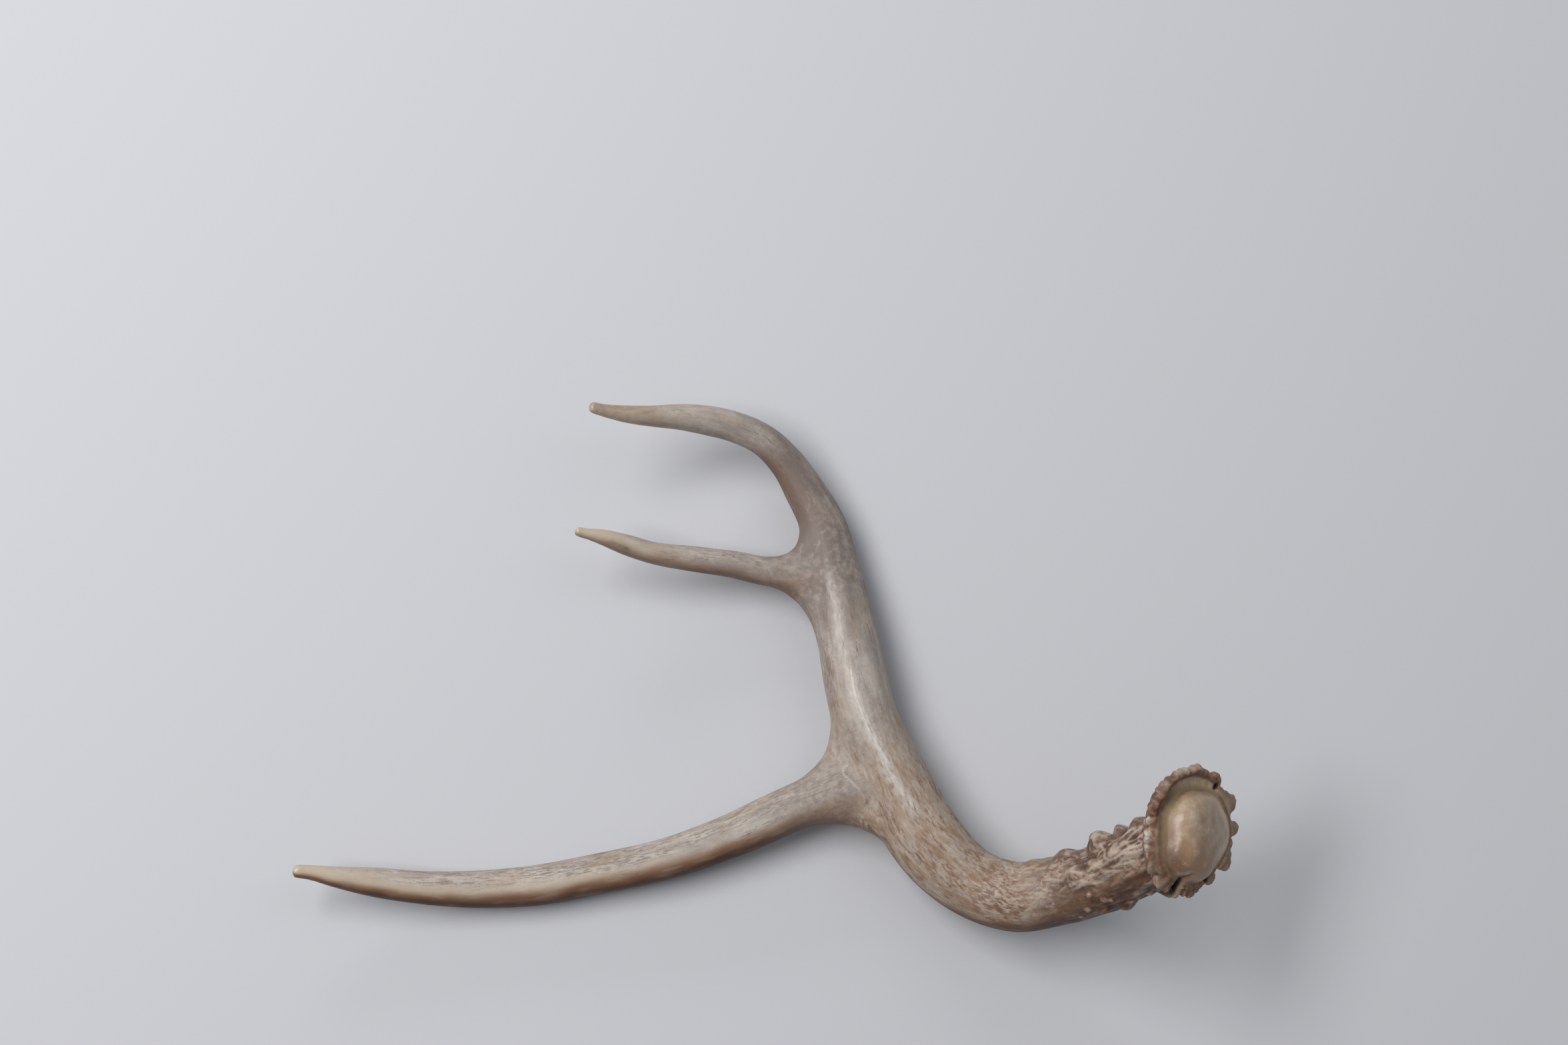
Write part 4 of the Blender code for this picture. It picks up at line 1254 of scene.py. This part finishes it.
class Surface:
    """A material in the making."""

    def __init__(self, name):
        self.material = bpy.data.materials.new(name)
        self.material.use_nodes = True
        self.tree = self.material.node_tree
        self.shader = self.tree.nodes["Principled BSDF"].inputs

    def feed(self, socket, value):
        if isinstance(value, Field):
            self.tree.links.new(value.socket, socket)
        else:
            socket.default_value = value

    def node(self, kind, inputs, output=0, **settings):
        """What comes out of a new node, with its inputs as a dictionary of name or number to value."""
        made = self.tree.nodes.new(kind)
        for name, value in settings.items():
            setattr(made, name, value)
        for which, value in inputs.items():
            self.feed(made.inputs[which], value)
        return Field(self, made.outputs[output])

    def mark(self, name, output="Fac"):
        return self.node("ShaderNodeAttribute", {}, output, attribute_name=name)

    def scaled(self, place, size):
        return self.node("ShaderNodeVectorMath", {0: place, 1: size}, operation="MULTIPLY")

    def noise(self, place, length, width, detail=2.0, rough=0.5, bent=0.0):
        """Noise in millimetres, drawn out along the first axis of a place."""
        at = self.scaled(place, (1.0 / length, 1.0 / width, 1.0 / width))
        settings = {"Vector": at, "Scale": 1.0, "Detail": detail, "Roughness": rough, "Distortion": bent}
        return self.node("ShaderNodeTexNoise", settings)

    def mixed(self, first, second, share):
        """From the first colour where the share is 0 to the second where it is 1."""
        return self.node("ShaderNodeMix", {0: share, 6: first, 7: second}, 2, data_type="RGBA")

    def coated(self, look, *coats):
        """Coats of colour, each with its share, laid on one after the other."""
        for coat, share in coats:
            look = self.mixed(look, coat, share)
        return look

    def blended(self, first, second, share):
        return self.node("ShaderNodeMix", {0: share, 2: first, 3: second}, data_type="FLOAT")


class Bone(Surface):
    """The antler's surface, with the noises and marks that more than one of its coats need."""

    def __init__(self):
        super().__init__("antler_bone")
        metres = self.node("ShaderNodeTexCoord", {}, "Object")
        self.place = self.scaled(metres, (1.0 / MM, 1.0 / MM, 1.0 / MM))
        self.beam = self.mark("beam_grain", "Vector")
        self.tine = self.mark("tine_grain", "Vector")
        self.tine_share = self.mark("tine_share")
        self.rough = self.mark("rough")
        self.flecked = self.mark("flecked")
        self.tip = self.mark("tip")
        self.seal = self.mark("seal")
        self.hollow = self.mark("hollow")
        self.deep = self.mark("deep")
        self.mottle = self.even(6.0, detail=4.0, rough=0.6)
        self.stains = self.even(5.0, detail=5.0, rough=0.62)
        self.specks = self.even(0.9, detail=2.0, rough=0.6).between(0.54, 0.72)
        self.small = self.noise(self.beam, 3.6, 1.2, detail=4.0, rough=0.62, bent=0.25)
        self.fibres = self.grown(4.5, 0.7, detail=3.0, rough=0.55)
        bands = (self.grown(26.0, 4.2, detail=3.0) + 0.13 * self.mark("mottled")).between(0.50, 0.62)
        self.dashes = bands * self.grown(3.4, 0.55, detail=2.0, rough=0.6, bent=0.3).between(0.50, 0.66)

    def even(self, size, **settings):
        """Noise in millimetres that isn't drawn out."""
        return self.noise(self.place, size, size, **settings)

    def grown(self, length, width, **settings):
        """The same noise on the beam and on the tines, each drawn out along its own growth."""
        on_beam = self.noise(self.beam, length, width, **settings)
        return self.blended(on_beam, self.noise(self.tine, length, width, **settings), self.tine_share)

    def along_line(self, name, wide, ragged):
        """1 on a line that a mark tells the distance to, and 0 from so many millimetres off it."""
        off = {0: self.mark(name, "Vector")}
        right, past = (self.node("ShaderNodeSeparateXYZ", off, axis) for axis in (0, 1))
        away = abs(right) + past + ragged * self.even(1.6)
        return away.between(wide + 0.5 * ragged, 0.5 * ragged)


def smooth_bone(s):
    """Soft clouds of grey and pale, a warm tinge, then short dark fibres in bands and fine specks."""
    web, mottled_here = s.mark("web"), s.mark("mottled")
    calm = (1.0 - 0.8 * web) * (1.0 - 0.8 * s.flecked)
    fine = s.even(2.6, detail=3.0, rough=0.6)
    clouds = s.blended(s.grown(19.0, 5.0, detail=5.0, rough=0.62), fine, 0.45 * web + 0.25)
    warm = s.blended(s.grown(20.0, 8.0, detail=3.0), fine, 0.8 * web)
    smudges = s.grown(7.0, 1.0, detail=3.0, rough=0.62, bent=0.4).between(0.46, 0.64)
    return s.coated(
        GREY_BONE,
        (PALE_BONE, clouds.between(0.36, 0.66)),
        (WARM_BONE, warm.between(0.48, 0.70) * 0.55),
        (DARK_FIBRE, s.fibres.between(0.50, 0.80) * calm * 0.30),
        (DARK_FIBRE, s.dashes * s.tip.between(0.75, 0.2) * calm * 0.70),
        (MOTTLE_BROWN, mottled_here * smudges * 0.60),
        # The darker upper beam, partly painted shade.
        (DUSKY_BONE, s.mark("dusk") * clouds.between(1.00, 0.20)),
        (DARK_FIBRE, s.specks * 0.28),
        (CREAM, s.mark("cream") * 0.7),
    )


def with_flecks(s, look):
    """Brown flecks along the lower beam: soft strokes in clusters, on a warm wash."""
    clusters = s.noise(s.beam, 13.0, 6.0, detail=3.0).between(0.38, 0.60)
    coarse = s.noise(s.beam, 9.0, 3.6, detail=4.0, rough=0.60, bent=0.5)
    strokes = s.noise(s.beam, 5.0, 1.3, bent=0.4)
    pale = s.noise(s.beam, 4.6, 1.5, bent=0.4)
    return s.coated(
        look,
        (WARM_BONE, s.flecked * (0.52 * coarse.between(0.40, 0.60) + 0.40)),
        (BROWN_FLECK, s.flecked * coarse.between(0.44, 0.66) * 0.50),
        (BROWN_FLECK, s.flecked * (0.66 * clusters + 0.16) * s.small.between(0.44, 0.66)),
        (BROWN_FLECK, s.flecked * strokes.between(0.54, 0.70) * (0.45 * clusters + 0.35)),
        (PALE_BONE, s.flecked * pale.between(0.52, 0.76) * 0.55),
    )


def with_worn_places_and_sheen(s, look):
    """The beam's pale ridge, the blood vessel, the white thread along the ridge, and the ivory tips; the
    ridge and the thread are partly worn bone and partly a painted highlight.
    """
    grained = s.mottle.between(0.15, 0.55) * s.small.between(0.85, 0.35)
    return s.coated(
        look,
        # The ridge's pale band, partly worn bone and partly a painted highlight.
        (RUBBED_BONE_AND_SHEEN, s.mark("pale") * grained * 0.9),
        (RUBBED_BONE_AND_SHEEN, s.along_line("vein", 0.8, 0.6) * 0.25),
        # The white thread, partly rubbed bone and partly a painted highlight.
        (RUBBED_BONE_AND_SHEEN, s.along_line("thread", 0.45, 1.1) * 0.95),
        (IVORY, s.tip * s.grown(14.0, 2.5).between(0.30, 0.55) * 0.8),
        (IVORY, s.tip.between(0.85, 1.0)),
    )


def with_rough_base(s, look):
    """Tan and brown washes by the burr, pale along the ridges and dark in the gutters, and all the stains and
    brown patches; on the lower sides and at the beam's tip these are partly painted shade.
    """
    washes = s.noise(s.beam, 7.0, 4.0, detail=4.0, rough=0.6, bent=0.6)
    blots = s.noise(s.beam, 3.6, 1.8, detail=3.0, rough=0.6, bent=0.5).between(0.50, 0.62)
    threads = s.noise(s.beam, 4.2, 1.3, detail=4.0, rough=0.62, bent=0.5)
    ridges = 0.75 * s.mark("lines") + -0.35 * s.hollow + 1.3 * threads + -0.62
    ground = s.coated(
        ROUGH_TAN,
        (ROUGH_BROWN, washes.between(0.40, 0.56)),
        (GUTTER_BROWN, blots * 0.65),
        (CREST_PALE, ridges.between(-0.04, 0.90) * 0.70),
        (GUTTER_BROWN, (0.7 * s.hollow + 0.9 * s.deep).between(0.2, 1.3) * 0.80),
        (BROWN_FLECK, s.flecked * s.small.between(0.48, 0.62) * 0.6),
    )
    stained_and_shaded, uneven = s.mark("stained_and_shaded"), 0.30 * s.grown(12.0, 3.0, detail=3.0).between(0.3, 0.55) + 0.70
    bare = -0.45 * ridges.between(0.05, 0.50) * s.rough + -0.40 * washes.between(0.44, 0.58) * s.rough + 1.0
    dapple = 0.5 * s.mottle.between(0.35, 0.6) + 0.5
    fine_dapple = 0.85 * s.small.between(0.42, 0.58) + 0.15
    return s.coated(
        look,
        (ground, s.rough),
        (GUTTER_BROWN, s.mark("gutters") * 0.7),
        # Soft brown on the lower sides, partly painted shade.
        (SOFT_STAIN_AND_SHADE, stained_and_shaded * uneven * bare * 0.95),
        # Brown patches, partly painted shade on the lower edges and at the beam's tip.
        (BROWN_FLECK, s.mark("brown") * s.blended(dapple, fine_dapple, s.flecked)),
        # Dark brown on the lower sides, partly painted shade, kept off the crests.
        (DARK_STAIN_AND_SHADE, s.mark("under") * uneven * bare * s.hollow.between(-1.5, -0.6)),
        # More brown blots where the lower sides are darkened, partly painted shade.
        (GUTTER_BROWN, s.rough * blots * stained_and_shaded * 0.45),
    )


def coronet(s):
    """The rim: streaked brown, its pale face and lobes, partly painted light, the rusty lip, pearls, olive
    moat, partly painted shade, and holes painted dark as shade.
    """
    skirt, top_face, rim_grain = s.mark("skirt"), s.mark("top_face"), s.mark("rim_grain", "Vector")
    streaks = s.noise(rim_grain, 9.0, 1.3, detail=3.0, rough=0.6).between(0.44, 0.62)
    wide_streaks = s.noise(rim_grain, 7.0, 2.8, detail=4.0, rough=0.6, bent=0.4).between(0.40, 0.66)
    rusty = s.even(2.4, detail=3.0).between(0.46, 0.64)
    face = s.mixed(FACE_TAN, FACE_PALE, top_face)
    rust = 0.50 * rusty + 0.25 * s.hollow.between(0.2, -1.2) + 0.30 * top_face
    return s.coated(
        RIM_BROWN,
        (RIM_TAN, s.even(4.0, detail=3.0).between(0.35, 0.65) * 0.9),
        (GUTTER_BROWN, streaks * (0.35 * skirt + 0.15)),
        (CREST_PALE, s.hollow.between(-0.5, -1.4) * 0.35),
        # The face, paler at the top as painted light where the lip shades it.
        (face, s.mark("inner_rim") * (0.98 - 0.40 * wide_streaks) * (1.0 - 0.6 * skirt)),
        # The lobes' tan, partly painted light, with painted shade at their outer edges.
        (LOBE_TAN, s.mark("lobes") * (1.15 - 0.9 * s.stains)),
        (s.mixed(RIM_BROWN, LIP_RUST, rusty), s.mark("row") * 0.85),
        (s.mixed(LIP_BROWN, LIP_RUST, rust), s.mark("lip")),
        (PEARL, s.mark("pearls") * 0.9),
        (GUTTER_BROWN, (s.hollow + 0.5 * s.deep).between(0.3, 1.3) * 0.65),
        # The olive moat, partly painted shade.
        (SEAL_OLIVE, s.mark("moat") * 0.75),
        # Darker low on the left: partly painted shade.
        (ROUGH_BROWN, s.mark("low_left") * s.stains.between(0.25, 0.50) * 0.6),
        # The holes, painted dark as shade.
        (HOLE_SHADE, s.mark("holes").between(0.25, 0.8)),
    )


def seal(s):
    """The seal: tan and brown clouds with an olive tinge, warm on its right, partly its own tone and partly
    painted light, and brown low down, partly its own tone and partly painted shade.
    """
    stained_and_shaded = s.stains.between(0.25, 0.50)
    return s.coated(
        SEAL_TAN,
        (SEAL_BROWN, s.stains.between(0.38, 0.62)),
        (SEAL_OLIVE, s.even(6.0, detail=3.0).between(0.50, 0.64) * 0.55),
        # Paler on the right: partly painted light.
        (SEAL_SIDE, s.mark("seal_side") * 0.75),
        # Brown low down: partly painted shade.
        (SEAL_LOW, s.mark("seal_low") * stained_and_shaded),
        # The olive moat, partly painted shade.
        (SEAL_OLIVE, s.mark("moat") * 0.8),
        # Darker low on the left: partly painted shade.
        (ROUGH_BROWN, s.mark("low_left") * stained_and_shaded * 0.75),
        (SEAL_BROWN, s.specks * 0.4),
    )


def bone_material():
    s = Bone()
    burr = s.mark("burr")
    look = with_rough_base(s, with_worn_places_and_sheen(s, with_flecks(s, smooth_bone(s))))
    s.feed(s.shader["Base Color"], s.coated(look, (coronet(s), burr), (seal(s), s.seal)))
    roughness = 0.50 + -0.2 * s.tip + 0.08 * s.hollow + 0.1 * s.fibres + -0.17 * s.seal
    s.feed(s.shader["Roughness"], roughness)
    s.feed(s.shader["Specular IOR Level"], 0.5)
    # Bumps in millimetres: fibres and dashes along the growth, and fine grains.
    grains = s.even(0.5, detail=3.0, rough=0.6) * (0.05 - 0.042 * s.seal)
    height = (0.05 * s.fibres + -0.04 * s.dashes) * (1.0 - burr) + grains
    bump = s.node("ShaderNodeBump", {"Strength": 1.0, "Distance": MM, "Height": height}, "Normal")
    s.feed(s.shader["Normal"], bump)
    return s.material


# ---------------------------------------------------------------- stage

def floor():
    data = bpy.data.meshes.new("floor")
    half = FLOOR_SIZE / 2
    corners = [(-half, -half, 0), (half, -half, 0), (half, half, 0), (-half, half, 0)]
    data.from_pydata(corners, [], [(0, 1, 2, 3)])
    material = bpy.data.materials.new("floor")
    material.use_nodes = True
    shader = material.node_tree.nodes["Principled BSDF"]
    shader.inputs["Base Color"].default_value = FLOOR_GREY
    shader.inputs["Roughness"].default_value = 0.8
    data.materials.append(material)
    made = linked("floor", data)


def camera():
    data = bpy.data.cameras.new("camera")
    data.lens = CAMERA_LENS
    made = linked("camera", data)
    lift = math.radians(CAMERA_ELEVATION)
    back = Vector((0.0, -math.cos(lift), math.sin(lift)))
    made.location = LOOK_AT + back * CAMERA_DISTANCE
    made.rotation_euler = (-back).to_track_quat("-Z", "Y").to_euler()
    bpy.context.scene.camera = made


def lights():
    for name, width, height, power, place, tint in LAMPS:
        data = bpy.data.lights.new(name, "AREA")
        data.shape = "RECTANGLE"
        data.size = width
        data.size_y = height
        data.energy = power
        data.color = tint
        made = linked(name, data)
        made.location = place
        made.rotation_euler = (LOOK_AT - Vector(place)).to_track_quat("-Z", "Y").to_euler()
    world = bpy.data.worlds.new("world")
    world.use_nodes = True
    world.node_tree.nodes["Background"].inputs["Color"].default_value = AMBIENT_TINT
    world.node_tree.nodes["Background"].inputs["Strength"].default_value = AMBIENT
    bpy.context.scene.world = world
    bpy.context.scene.view_settings.view_transform = "Standard"


def main():
    antler = antler_skin()
    thinned(antler, TRIANGLES)
    in_metres(antler)
    antler.data.shade_smooth()
    mark_all(antler.data)
    antler.data.materials.append(bone_material())
    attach(antler, "root")
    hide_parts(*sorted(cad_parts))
    floor()
    camera()
    lights()


main()
